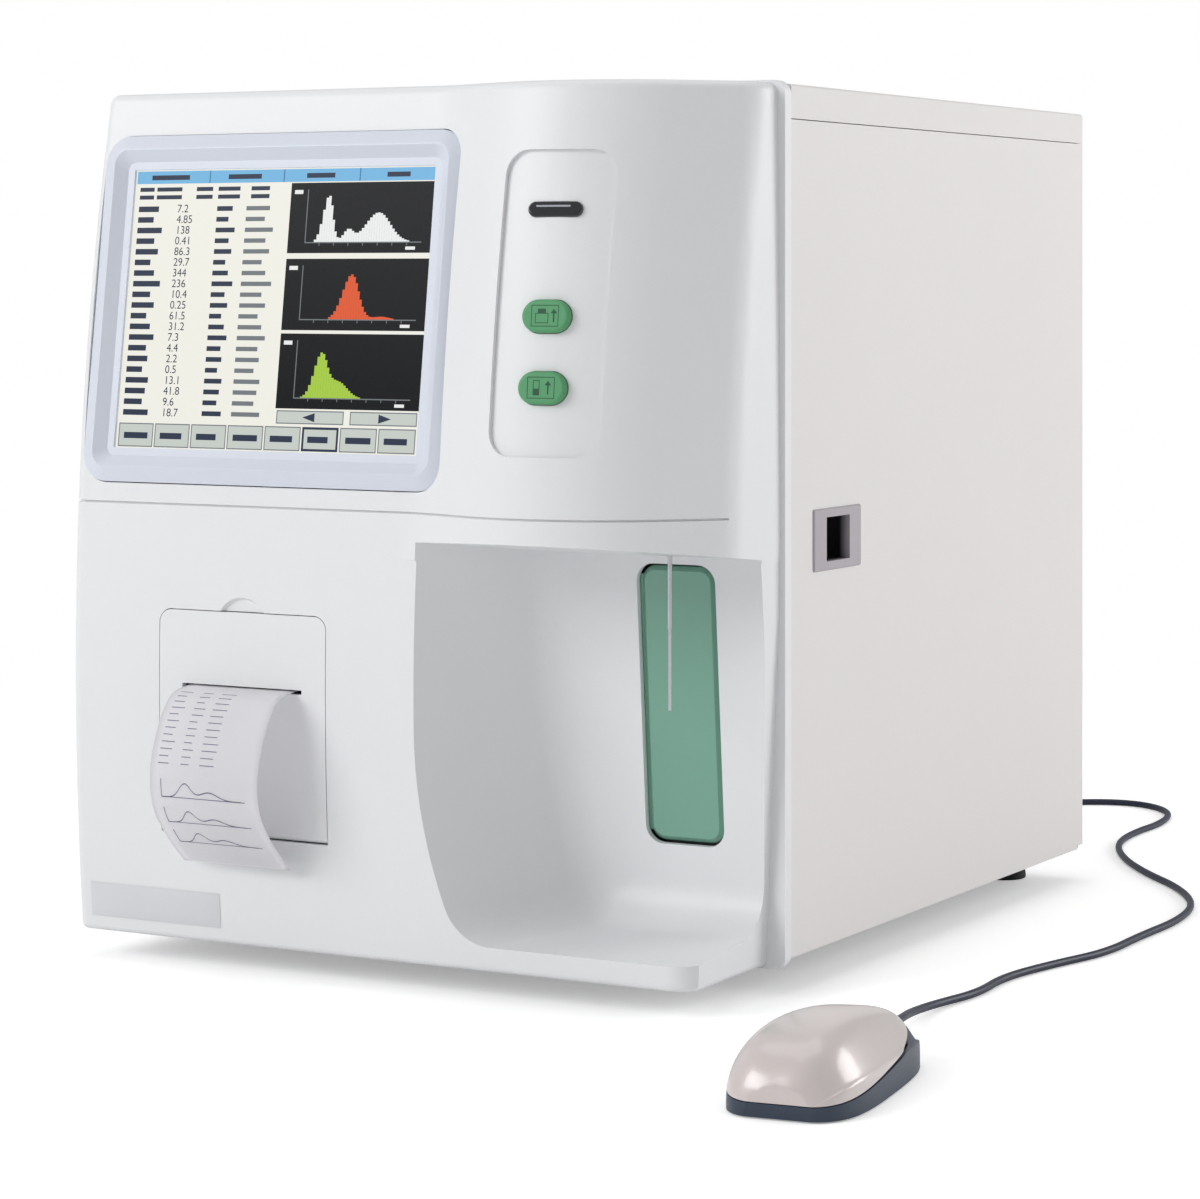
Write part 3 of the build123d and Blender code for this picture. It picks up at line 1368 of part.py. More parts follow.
with BuildPart() as mouse_pads:
    with Locations(*[mouse_at * Pos(x, y, 0) for x, y in ((-16, 30), (16, 30), (-16, -34), (16, -34))]):
        Cylinder(4, pad_height, align=upright)
save(mouse_pads, "mouse_pads")

plug_x = lead_route[0][0]
plug_z = lead_route[0][2]
plug_end = rear_y + plug_reach
with BuildPart() as mouse_plug:
    sheet_box((plug_x - 7.5, plug_x + 7.5), (rear_y + 1.2, plug_end), (plug_z - 4, plug_z + 4))
    fillet(mouse_plug.edges().filter_by(Axis.Y), radius=1.5)
    sheet_box((plug_x - 4.4, plug_x + 4.4), (rear_y - 7, rear_y + 2), (plug_z - 1.6, plug_z + 1.6))
    with Locations(Pos(plug_x, plug_end, plug_z) * Rot(-90, 0, 0)):
        Cone(3.4, 2.2, relief_reach, align=(Align.CENTER, Align.CENTER, Align.MIN))
save(mouse_plug, "mouse_plug")


def bend_radii(route):
    """Bend radii that keep every arc within 45 % of the shorter run beside it."""
    radii = []
    for before, here, after in zip(route, route[1:], route[2:]):
        first = Vector(*here) - Vector(*before)
        second = Vector(*after) - Vector(*here)
        turn = radians(first.get_angle(second))
        radii.append(round(0.45 * min(first.length, second.length) / tan(turn / 2), 2))
    return radii


with BuildPart() as mouse_cord:
    for route in (lead_route, cord_route):
        radii = bend_radii(route)
        with BuildLine() as path:
            FilletPolyline(*route, radius=radii)
        with BuildSketch(Plane(origin=route[0], z_dir=path.line % 0)):
            Circle(cord_diameter / 2)
        sweep(path=path.line)
        run_length = sum(edge.length for edge in path.line.edges())
        print("bend radii", radii)
        print("section x length", round(pi * (cord_diameter / 2) ** 2 * run_length, 1))
print("cord volume", round(mouse_cord.part.volume, 1))
save(mouse_cord, "mouse_cord")

with BuildPart() as cord_coil:
    with BuildSketch(Plane(origin=(*coil_centre, 0), x_dir=(1, 0, 0), z_dir=(0, -1, 0))):
        with Locations(((coil_inner + coil_outer) / 2, coil_height / 2 + 0.05)):
            RectangleRounded(coil_outer - coil_inner, coil_height, 1.7)
    revolve(axis=Axis((*coil_centre, 0), (0, 0, 1)))
save(cord_coil, "cord_coil")
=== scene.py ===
"""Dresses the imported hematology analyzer: materials, screen, prints, paper, cord, light and camera."""

import json
import math

import bmesh
import bpy
from mathutils import Matrix, Vector


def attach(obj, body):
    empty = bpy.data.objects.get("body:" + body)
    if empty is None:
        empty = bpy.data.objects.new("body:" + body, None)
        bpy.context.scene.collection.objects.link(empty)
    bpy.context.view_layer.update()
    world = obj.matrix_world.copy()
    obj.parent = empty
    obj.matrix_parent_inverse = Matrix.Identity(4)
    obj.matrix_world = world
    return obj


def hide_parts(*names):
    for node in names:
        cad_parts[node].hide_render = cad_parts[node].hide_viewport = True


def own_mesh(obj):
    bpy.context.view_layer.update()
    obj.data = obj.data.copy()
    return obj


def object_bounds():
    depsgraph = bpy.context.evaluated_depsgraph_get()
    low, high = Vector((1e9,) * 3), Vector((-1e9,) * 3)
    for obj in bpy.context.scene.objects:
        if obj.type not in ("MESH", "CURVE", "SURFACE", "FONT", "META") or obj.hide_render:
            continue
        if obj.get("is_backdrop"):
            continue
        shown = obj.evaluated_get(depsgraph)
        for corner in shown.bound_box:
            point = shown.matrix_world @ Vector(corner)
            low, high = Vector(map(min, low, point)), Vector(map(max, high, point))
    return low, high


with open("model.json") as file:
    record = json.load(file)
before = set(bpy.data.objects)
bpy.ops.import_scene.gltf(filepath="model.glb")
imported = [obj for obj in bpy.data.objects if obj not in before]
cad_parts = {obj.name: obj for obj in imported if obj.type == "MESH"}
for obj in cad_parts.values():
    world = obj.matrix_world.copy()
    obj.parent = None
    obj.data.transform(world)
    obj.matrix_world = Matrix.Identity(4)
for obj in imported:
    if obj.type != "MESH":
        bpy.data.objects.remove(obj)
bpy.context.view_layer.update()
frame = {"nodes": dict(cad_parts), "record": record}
nodes = frame["nodes"]
slots = {entry["node"]: entry["material_slot"] for entry in frame["record"]["subparts"]}

MM = 0.001

# Sizes and places of the object that the surfaces and prints follow, in millimetres
ARC_FRONT = -205.0
ARC_RADIUS = 1275.0
ARC_HEIGHT = 130.0
SLOT_HEIGHT = 127.7
DOOR_MIDDLE = -67.75
PAPER_WIDE = 57.0
PAPER_THICK = 0.2
GLASS_BORDER = 5.0
BADGE_LEFT = -153.0
BADGE_WIDE = 71.0
BADGE_LOW = 19.5
BADGE_TALL = 15.5
CORD_DIAMETER = 3.5

# Camera, as the photograph's frame of 1200 pixels shows the object
PHOTO_SIDE = 1200
FOCAL_PIXELS = 3598.4
MIDDLE_PIXEL = 599.5
HORIZON_PIXEL = 274.17
CAMERA_PLACE = (0.84326, -1.52495, 0.31160)
CAMERA_TURN = 28.92


# Materials

def linear(colour):
    """An 8-bit sRGB colour as linear values."""
    out = []
    for value in colour:
        value = value / 255
        out.append(value / 12.92 if value <= 0.04045 else ((value + 0.055) / 1.055) ** 2.4)
    return out


GLOSS_SWING = 0.06
RELIEF_DEPTH = 0.00012
WELD_DISTANCE = 2e-6
SMOOTH_ANGLE = 28


def surface(
    name, colour, rough=0.5, metal=0.0, coat=0.0, spread=0.03, cloud=9.0, grain=900.0, bump=0.0, streak=None
):
    """A surface with slight colour clouds, uneven gloss and a fine grain."""
    material = bpy.data.materials.new(name)
    material.use_nodes = True
    tree = material.node_tree
    shader = tree.nodes["Principled BSDF"]
    base = linear(colour)
    where = tree.nodes.new("ShaderNodeTexCoord")
    clouds = tree.nodes.new("ShaderNodeTexNoise")
    clouds.inputs["Scale"].default_value = cloud
    clouds.inputs["Detail"].default_value = 4
    tree.links.new(where.outputs["Object"], clouds.inputs["Vector"])
    ramp = tree.nodes.new("ShaderNodeValToRGB")
    ramp.color_ramp.elements[0].position = 0.3
    ramp.color_ramp.elements[1].position = 0.7
    ramp.color_ramp.elements[0].color = (*[v * (1 - spread) for v in base], 1)
    ramp.color_ramp.elements[1].color = (*[min(1, v * (1 + spread)) for v in base], 1)
    tree.links.new(clouds.outputs["Fac"], ramp.inputs["Fac"])
    tree.links.new(ramp.outputs["Color"], shader.inputs["Base Color"])
    fine = tree.nodes.new("ShaderNodeTexNoise")
    fine.inputs["Scale"].default_value = grain
    fine.inputs["Detail"].default_value = 3
    if streak:
        mapping = tree.nodes.new("ShaderNodeMapping")
        mapping.inputs["Scale"].default_value = streak
        tree.links.new(where.outputs["Object"], mapping.inputs["Vector"])
        tree.links.new(mapping.outputs["Vector"], fine.inputs["Vector"])
    else:
        tree.links.new(where.outputs["Object"], fine.inputs["Vector"])
    gloss = tree.nodes.new("ShaderNodeMapRange")
    gloss.inputs["To Min"].default_value = max(0.02, rough - GLOSS_SWING)
    gloss.inputs["To Max"].default_value = min(1, rough + GLOSS_SWING)
    tree.links.new(fine.outputs["Fac"], gloss.inputs["Value"])
    tree.links.new(gloss.outputs["Result"], shader.inputs["Roughness"])
    shader.inputs["Metallic"].default_value = metal
    shader.inputs["Coat Weight"].default_value = coat
    shader.inputs["Coat Roughness"].default_value = 0.12
    if bump:
        relief = tree.nodes.new("ShaderNodeBump")
        relief.inputs["Strength"].default_value = bump
        relief.inputs["Distance"].default_value = RELIEF_DEPTH
        tree.links.new(fine.outputs["Fac"], relief.inputs["Height"])
        tree.links.new(relief.outputs["Normal"], shader.inputs["Normal"])
    return material


def lit(name, colour, power=1.0):
    """A field of the lit screen."""
    material = surface(name, [min(255, v * 0.12) for v in colour], rough=0.25, spread=0.0)
    shader = material.node_tree.nodes["Principled BSDF"]
    shader.inputs["Emission Color"].default_value = (*linear(colour), 1)
    shader.inputs["Emission Strength"].default_value = power
    shader.inputs["Specular IOR Level"].default_value = 0.1
    return material


def clear(name, colour, rough=0.08):
    """Clear plastic."""
    material = surface(name, colour, rough=rough, spread=0.0)
    shader = material.node_tree.nodes["Principled BSDF"]
    shader.inputs["Transmission Weight"].default_value = 0.85
    shader.inputs["IOR"].default_value = 1.45
    return material


finish = {
    "cover_white": surface("cover_white", (232, 233, 235), rough=0.42, grain=1400, bump=0.25, spread=0.008),
    "bezel_grey": surface("bezel_grey", (216, 221, 232), rough=0.40, grain=1400, bump=0.22, spread=0.01),
    "screen_glass": lit("screen_glass", (246, 245, 236), 0.92),
    "dark_plastic": surface("dark_plastic", (32, 33, 36), rough=0.5, grain=1200, bump=0.3),
    "zinc_sheet": surface(
        "zinc_sheet", (168, 170, 172), rough=0.38, metal=0.9, cloud=30, spread=0.08, grain=300
    ),
    "key_green": surface("key_green", (86, 158, 108), rough=0.5, grain=1500, bump=0.2),
    "lamp_dark": surface("lamp_dark", (18, 20, 26), rough=0.12, coat=0.8),
    "board_green": surface("board_green", (28, 92, 60), rough=0.35, coat=0.4, cloud=120, spread=0.15),
    "paper": surface("paper", (250, 249, 252), rough=0.72, grain=2500, bump=0.25, spread=0.01),
    "black_rubber": surface("black_rubber", (26, 26, 27), rough=0.75, grain=1500, bump=0.5),
    "plate_green": surface("plate_green", (116, 166, 146), rough=0.30, coat=0.3, spread=0.02),
    "polished_steel": surface("polished_steel", (200, 202, 204), rough=0.22, metal=1.0, grain=500),
    "clear_acrylic": clear("clear_acrylic", (225, 238, 236)),
    "motor_steel": surface("motor_steel", (58, 59, 62), rough=0.4, metal=0.3, grain=900, bump=0.2),
    "cabinet_paint": surface(
        "cabinet_paint", (226, 223, 222), rough=0.48, grain=1800, bump=0.35, spread=0.008
    ),
    "pull_grey": surface("pull_grey", (172, 166, 172), rough=0.45, grain=1300, bump=0.2),
    "white_plastic": surface("white_plastic", (222, 222, 218), rough=0.45, grain=1300, bump=0.2),
    "mouse_pearl": surface(
        "mouse_pearl", (214, 204, 202), rough=0.30, coat=0.5, metal=0.05, spread=0.008, grain=2500
    ),
    "navy_plastic": surface("navy_plastic", (48, 60, 78), rough=0.38, grain=1300, bump=0.2),
    "cord_navy": surface("cord_navy", (24, 30, 56), rough=0.42, grain=1800, bump=0.3),
}


def paint_pocket_shade(material, deep, open_x, colour):
    """Paints shade into a material: its colour goes dark where x is less than the mouth of a pocket."""
    tree = material.node_tree
    shader = tree.nodes["Principled BSDF"]
    outside = shader.inputs["Base Color"].links[0].from_socket
    where = tree.nodes.new("ShaderNodeTexCoord")
    split = tree.nodes.new("ShaderNodeSeparateXYZ")
    tree.links.new(where.outputs["Object"], split.inputs["Vector"])
    depth = tree.nodes.new("ShaderNodeMapRange")
    depth.inputs["From Min"].default_value = deep
    depth.inputs["From Max"].default_value = open_x
    tree.links.new(split.outputs["X"], depth.inputs["Value"])
    mix = tree.nodes.new("ShaderNodeMix")
    mix.data_type = "RGBA"
    tree.links.new(depth.outputs["Result"], mix.inputs["Factor"])
    mix.inputs[6].default_value = (*linear(colour), 1)
    tree.links.new(outside, mix.inputs[7])
    tree.links.new(mix.outputs[2], shader.inputs["Base Color"])


# Painted shade inside the side pull's pocket: past its mouth the walls are coloured dark grey, deeper in
# darker, to stand in for the shade in the recess
POCKET_DEEP = 0.1595
POCKET_MOUTH = 0.1632
paint_pocket_shade(finish["pull_grey"], POCKET_DEEP, POCKET_MOUTH, (46, 44, 50))


def smooth_group():
    """Geometry nodes that weld a solid's faces and smooth them up to sharp edges."""
    group = bpy.data.node_groups.new("smooth_solid", "GeometryNodeTree")
    group.interface.new_socket("Geometry", in_out="INPUT", socket_type="NodeSocketGeometry")
    group.interface.new_socket("Geometry", in_out="OUTPUT", socket_type="NodeSocketGeometry")
    source = group.nodes.new("NodeGroupInput")
    target = group.nodes.new("NodeGroupOutput")
    weld = group.nodes.new("GeometryNodeMergeByDistance")
    weld.inputs["Distance"].default_value = WELD_DISTANCE
    flat = group.nodes.new("GeometryNodeSetShadeSmooth")
    flat.domain = "FACE"
    flat.inputs["Shade Smooth"].default_value = True
    angle = group.nodes.new("GeometryNodeInputMeshEdgeAngle")
    limit = group.nodes.new("ShaderNodeMath")
    limit.operation = "LESS_THAN"
    limit.inputs[1].default_value = math.radians(SMOOTH_ANGLE)
    sharp = group.nodes.new("GeometryNodeSetShadeSmooth")
    sharp.domain = "EDGE"
    group.links.new(source.outputs[0], weld.inputs["Geometry"])
    group.links.new(weld.outputs["Geometry"], flat.inputs["Geometry"])
    group.links.new(angle.outputs["Unsigned Angle"], limit.inputs[0])
    group.links.new(limit.outputs[0], sharp.inputs["Shade Smooth"])
    group.links.new(flat.outputs["Geometry"], sharp.inputs["Geometry"])
    group.links.new(sharp.outputs["Geometry"], target.inputs[0])
    return group


smoother = smooth_group()
for name, node in nodes.items():
    for material_slot in node.material_slots:
        material_slot.material = finish[slots[name]]
    if not node.material_slots:
        node.data.materials.append(finish[slots[name]])
    modifier = node.modifiers.new("smooth", "NODES")
    modifier.node_group = smoother
    weighted = node.modifiers.new("weighted", "WEIGHTED_NORMAL")
    weighted.keep_sharp = True


# Building helpers

def piece(name, bm, material, body, smooth=False):
    """A finished mesh piece that rides on a body."""
    mesh = bpy.data.meshes.new(name)
    bm.to_mesh(mesh)
    bm.free()
    made = bpy.data.objects.new(name, mesh)
    bpy.context.scene.collection.objects.link(made)
    mesh.materials.append(material)
    for face in mesh.polygons:
        face.use_smooth = smooth
    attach(made, body)
    return made


class Board:
    """A flat place to lay thin shapes on, with one mesh for each material."""

    def __init__(self, prefix, origin, across, up, body):
        self.prefix = prefix
        self.origin = Vector(origin) * MM
        self.across = Vector(across).normalized()
        self.up = Vector(up).normalized()
        self.out = self.across.cross(self.up)
        self.body = body
        self.fields = {}

    def spot(self, u, v, lift):
        """A point at u across and v up from the board's origin."""
        return self.origin + self.across * u * MM + self.up * v * MM + self.out * lift * MM

    def shape(self, material, outline, lift):
        """A flat shape with the given corners."""
        bm = self.fields.setdefault(material, bmesh.new())
        bm.faces.new([bm.verts.new(self.spot(u, v, lift)) for u, v in outline])

    def rect(self, material, left, top, right, bottom, lift=0.05):
        """A rectangle, with heights counted down from the origin."""
        self.shape(material, [(left, -bottom), (right, -bottom), (right, -top), (left, -top)], lift)

    def ring(self, material, left, top, right, bottom, line, lift=0.05):
        """The outline of a rectangle."""
        self.rect(material, left, top, right, top + line, lift)
        self.rect(material, left, bottom - line, right, bottom, lift)
        self.rect(material, left, top + line, left + line, bottom - line, lift)
        self.rect(material, right - line, top + line, right, bottom - line, lift)

    def text(self, name, body_text, material, left, top, size, spacing=1.0, lift=0.12):
        """Lines of plain text."""
        curve = bpy.data.curves.new(name, "FONT")
        curve.body = body_text
        curve.size = size * MM
        curve.space_line = spacing
        curve.fill_mode = "FRONT"
        made = bpy.data.objects.new(name, curve)
        bpy.context.scene.collection.objects.link(made)
        curve.materials.append(material)
        turn = Matrix((self.across, self.up, self.out)).transposed().to_4x4()
        made.matrix_world = Matrix.Translation(self.spot(left, -top, lift)) @ turn
        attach(made, self.body)
        return made

    def finish(self):
        """Makes the board's pieces, one for each material."""
        return [
            piece(f"{self.prefix}_{material.name}", bm, material, self.body)
            for material, bm in self.fields.items()
        ]


# Screen: fields of colour on the lit pane

def face_place(name, out, across):
    """Middle, width, height and upward direction of the face that a node turns towards out."""
    out = Vector(out).normalized()
    across = Vector(across).normalized()
    up = out.cross(across)
    corners = [nodes[name].matrix_world @ v.co / MM for v in nodes[name].data.vertices]
    lift = max(c.dot(out) for c in corners)
    us = [c.dot(across) for c in corners]
    vs = [c.dot(up) for c in corners]
    middle = across * (max(us) + min(us)) / 2 + up * (max(vs) + min(vs)) / 2 + out * lift
    return middle, max(us) - min(us), max(vs) - min(vs), up


panel_out = Vector((0, -0.99144, 0.130566))
pane, glass_wide, glass_tall, panel_up = face_place("display_glass", panel_out, (1, 0, 0))
WINDOW = (glass_wide - 2 * GLASS_BORDER, glass_tall - 2 * GLASS_BORDER)
corner = pane - Vector((WINDOW[0] / 2, 0, 0)) + panel_up * (WINDOW[1] / 2)
screen = Board("screen", corner, (1, 0, 0), panel_up, "cabinet")
ink = lit("screen_ink", (52, 62, 84), 0.8)
pale_ink = lit("screen_pale_ink", (128, 134, 140), 0.8)
sky = lit("screen_sky", (120, 184, 226), 0.95)
sky_dark = lit("screen_sky_dark", (72, 128, 178), 0.9)
night = lit("screen_night", (14, 16, 20), 0.8)
snow = lit("screen_snow", (238, 240, 240), 0.95)
coral = lit("screen_coral", (226, 92, 52), 0.95)
lime = lit("screen_lime", (168, 206, 70), 0.95)
axis_grey = lit("screen_axis", (126, 132, 136), 0.8)
cell = lit("screen_cell", (206, 212, 206), 0.9)

W = WINDOW[0]
BAR = 6.3
screen.rect(sky, 0.5, 0.5, W - 0.5, BAR)
for i in range(1, 4):
    screen.rect(sky_dark, 0.5 + i * W / 4 - 0.3, 0.5, 0.5 + i * W / 4 + 0.3, BAR, 0.08)
for i in range(4):
    u = 0.5 + (i + 0.5) * W / 4
    screen.rect(ink, u - 12 + 2 * i, 2.4, u + 9 - i, 4.6, 0.08)

graph_left = 0.53 * W
graph_right = 0.995 * W
PEAK = 21.0
STEPS = 46
# Top, bottom, colour, and the height, middle and width of each hump
graphs = (
    (6.8, 38.5, snow, ((1, 0.17, 0.06), (0.25, 0.36, 0.06), (0.62, 0.62, 0.15))),
    (41.0, 73.0, coral, ((0.95, 0.42, 0.10), (0.06, 0.7, 0.1))),
    (74.5, 108.0, lime, ((0.9, 0.2, 0.08), (0.35, 0.36, 0.12))),
)
for top, bottom, colour, humps in graphs:
    low = bottom - 5
    screen.rect(night, graph_left, top, graph_right, bottom, 0.06)
    screen.rect(axis_grey, graph_left + 9, top + 3, graph_left + 9.5, bottom - 4.5, 0.09)
    screen.rect(axis_grey, graph_left + 9, low, graph_right - 5, bottom - 4.5, 0.09)
    for k in range(1, 8):
        u = graph_left + 9 + k * (graph_right - graph_left - 14) / 8
        screen.rect(axis_grey, u, bottom - 4.5, u + 0.4, bottom - 3.3, 0.09)
    screen.rect(snow, graph_left + 2, top + 3.2, graph_left + 6.5, top + 5.0, 0.09)
    screen.rect(snow, graph_right - 13, bottom - 2.8, graph_right - 8, bottom - 1.4, 0.09)
    span = graph_right - graph_left - 16
    for k in range(STEPS):
        t = k / (STEPS - 1)
        rise = sum(high * math.exp(-((t - middle) / width) ** 2) for high, middle, width in humps)
        u = graph_left + 10 + t * span
        if rise > 0.02:
            screen.rect(colour, u, low - PEAK * rise, u + span / STEPS, low, 0.1)

ARROWS = (108.8, 114.8)
arrow_mid = sum(ARROWS) / 2
for side, left, right in ((-1, 0.535, 0.755), (1, 0.775, 0.99)):
    screen.rect(cell, left * W, ARROWS[0], right * W, ARROWS[1], 0.06)
    screen.ring(pale_ink, left * W, ARROWS[0], right * W, ARROWS[1], 0.5, 0.09)
    mid = (left + right) / 2 * W
    tail = mid - side * 2.5
    arrow = [(mid + side * 4, -arrow_mid), (tail, -arrow_mid + 2), (tail, -arrow_mid - 2)]
    screen.shape(ink, arrow[::-side], 0.1)

BUTTONS = (116.0, 126.8)
CHOSEN = 5
for i in range(8):
    left = 1.0 + i * (W - 2.0) / 8
    right = left + (W - 2.0) / 8 - 0.8
    screen.rect(cell, left, BUTTONS[0], right, BUTTONS[1], 0.06)
    edge = (ink, 1.1) if i == CHOSEN else (pale_ink, 0.5)
    screen.ring(edge[0], left, BUTTONS[0], right, BUTTONS[1], edge[1], 0.09)
    screen.rect(ink, left + 3, 120.2, right - 3 - (i % 3) * 1.2, 123.0, 0.1)

for top in (8.0, 11.6):
    for left, wide in ((2.5, 8), (12, 14), (34, 9), (46, 12), (64, 10)):
        screen.rect(ink, left, top, left + wide, top + 1.9, 0.09)
ROW = 4.9
FIRST_ROW = 16.0
rows = (
    "7.2 4.85 138 0.41 86.3 29.7 344 236 10.4 0.25 61.5 31.2 7.3 4.4 2.2 0.5 13.1 41.8 9.6 18.7"
).split()
bars = (9, 7, 11, 8, 10, 7, 9, 12, 8, 10, 7, 9, 11, 8, 9, 7, 10, 9, 8, 11)
for i, wide in enumerate(bars):
    top = FIRST_ROW + i * ROW
    screen.rect(ink, 2.5, top + 0.7, 2.5 + wide * 1.25, top + 3.3, 0.09)
    screen.rect(ink, 46, top + 0.9, 46 + wide * 0.95, top + 3.1, 0.09)
    screen.rect(pale_ink, 62, top + 1.0, 64 + wide * 1.2, top + 3.0, 0.09)
DIGIT = 5.2
screen.text("screen_values", "\n".join(rows), ink, 24, FIRST_ROW + 3.6, DIGIT, ROW / DIGIT)
screen.finish()


# Pictograms on the keys

def key_board(name, body):
    """A board on the crown of a key, which faces against the way it is pressed."""
    joints = frame["record"]["behaviour"]["joints"]
    press = next(joint["axis"] for joint in joints if joint["child"] == body)
    out = -Vector(press).normalized()
    across = Vector((0, 0, 1)).cross(out).normalized()
    middle, *_, up = face_place(name, out, across)
    return Board(name, middle, across, up, body)


def up_arrow(board, u, low, high):
    """An arrow with a head at its top."""
    board.rect(key_ink, u - 0.35, -high + 1.6, u + 0.35, -low, 0.02)
    board.shape(key_ink, [(u - 1.5, high - 2.0), (u + 1.5, high - 2.0), (u, high)], 0.02)


key_ink = surface("key_ink", (34, 84, 54), rough=0.55)
print_face = key_board("print_key", "print_key_body")
print_face.ring(key_ink, -6.2, -4.6, 6.2, 4.6, 0.35, 0.02)
print_face.ring(key_ink, -4.4, -1.2, 1.6, 3.2, 0.35, 0.02)
print_face.rect(key_ink, -3.2, -3.0, 0.4, -1.2, 0.02)
up_arrow(print_face, 4.0, -2.8, 3.0)
print_face.finish()
sample_face = key_board("sample_key", "sample_key_body")
sample_face.ring(key_ink, -6.2, -4.6, 6.2, 4.6, 0.35, 0.02)
sample_face.ring(key_ink, -3.6, -3.2, -0.6, 3.2, 0.35, 0.02)
sample_face.rect(key_ink, -3.2, 0.4, -1.0, 3.0, 0.02)
up_arrow(sample_face, 3.2, -2.8, 3.0)
sample_face.finish()

# Painted highlight: a pale strip laid along the upper edge of the glossy lamp lens stands in for the bright
# reflection it shows there
lamp_out = Vector((0.148657, -0.975761, 0.160596))
lamp_across = Vector((0, 0, 1)).cross(lamp_out).normalized()
lamp_middle, *_, lamp_up = face_place("lamp_lens", lamp_out, lamp_across)
lamp_highlight_board = Board("lamp_highlight_strip", lamp_middle, lamp_across, lamp_up, "cabinet")
lamp_highlight_board.rect(surface("lamp_painted_highlight", (168, 170, 178), rough=0.2), -8.5, -1.7, 7.0, -0.9, 0.02)
lamp_highlight_board.finish()


# Bare badge plate near the foot of the cover

def cover_front(z):
    """The cover's front at a height, in millimetres."""
    return ARC_FRONT + ARC_RADIUS - math.sqrt(ARC_RADIUS**2 - (z - ARC_HEIGHT) ** 2)


bm = bmesh.new()
rows_of = []
for k in range(7):
    z = BADGE_LOW + BADGE_TALL * k / 6
    row = []
    for u in range(13):
        x = BADGE_LEFT + BADGE_WIDE * u / 12
        at_edge = k in (0, 6) or u in (0, 12)
        row.append(bm.verts.new(Vector((x, cover_front(z) - (0.15 if at_edge else 0.8), z)) * MM))
    rows_of.append(row)
for a, b in zip(rows_of, rows_of[1:]):
    for i in range(12):
        bm.faces.new((a[i], a[i + 1], b[i + 1], b[i]))
badge_satin = surface("badge_satin", (218, 219, 222), rough=0.32, metal=0.15, streak=(40, 900, 900))
piece("badge_plate", bm, badge_satin, "cabinet", True)


# Paper: one bowed sheet with a printed upper side

def paper_line():
    """The paper's bow as control points in the plane of Y and Z, in millimetres."""
    out = cover_front(SLOT_HEIGHT)
    return [
        (-192.0, SLOT_HEIGHT),
        (out - 2.0, SLOT_HEIGHT),
        (out - 14.5, 124.0),
        (out - 24.0, 110.0),
        (out - 29.2, 92.0),
        (out - 26.5, 76.0),
        (out - 16.0, 62.0),
        (out - 3.5, 50.0),
    ]


def smooth_line(points, steps):
    """A Catmull-Rom line through the points."""
    out = []
    full = [points[0], *points, points[-1]]
    for a, b, c, d in zip(full, full[1:], full[2:], full[3:]):
        for k in range(steps):
            t = k / steps
            out.append(
                tuple(
                    0.5
                    * (
                        2 * q
                        + (r - p) * t
                        + (2 * p - 5 * q + 4 * r - s) * t**2
                        + (3 * q - p - 3 * r + s) * t**3
                    )
                    for p, q, r, s in zip(a, b, c, d)
                )
            )
    out.append(points[-1])
    return out


line = smooth_line(paper_line(), 8)
paper_left = DOOR_MIDDLE - PAPER_WIDE / 2
bm = bmesh.new()
grid = []
for y, z in line:
    grid.append([bm.verts.new(Vector((paper_left + PAPER_WIDE * u / 12, y, z)) * MM) for u in range(13)])
for a, b in zip(grid, grid[1:]):
    for i in range(12):
        bm.faces.new((a[i], a[i + 1], b[i + 1], b[i]))
bmesh.ops.solidify(bm, geom=bm.faces[:], thickness=PAPER_THICK * MM)
paper = piece("printed_paper", bm, finish["paper"], "printer_door_body", True)
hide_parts("paper_strip")

travel = [0.0]
for a, b in zip(line, line[1:]):
    travel.append(travel[-1] + math.hypot(b[0] - a[0], b[1] - a[1]))


def on_paper(u, s, lift=0.14):
    """A point on the paper's outer side: u across from the left, s along from the printer."""
    for i in range(len(line) - 1):
        if travel[i + 1] >= s or i == len(line) - 2:
            t = (s - travel[i]) / (travel[i + 1] - travel[i])
            y = line[i][0] + t * (line[i + 1][0] - line[i][0])
            z = line[i][1] + t * (line[i + 1][1] - line[i][1])
            dy, dz = line[i + 1][0] - line[i][0], line[i + 1][1] - line[i][1]
            size = math.hypot(dy, dz)
            return Vector((paper_left + u, y + dz / size * lift, z - dy / size * lift)) * MM
    return None


print_ink = surface("print_ink", (112, 104, 132), rough=0.7)
bm = bmesh.new()


def dash(u0, s0, u1, s1, thick=0.35):
    """A printed line on the paper, in short steps along the sheet."""
    half = thick / 2
    level = abs(u1 - u0) > abs(s1 - s0)
    count = max(1, int(abs(s1 - s0) / 2.5))
    for k in range(count):
        a, b = k / count, (k + 1) / count
        ua, ub = u0 + (u1 - u0) * a, u0 + (u1 - u0) * b
        sa, sb = s0 + (s1 - s0) * a, s0 + (s1 - s0) * b
        if level:
            corners = [(ua, sa - half), (ub, sb - half), (ub, sb + half), (ua, sa + half)]
        else:
            corners = [(ua - half, sa), (ua + half, sa), (ub + half, sb), (ub - half, sb)]
        bm.faces.new([bm.verts.new(on_paper(u, s)) for u, s in corners])


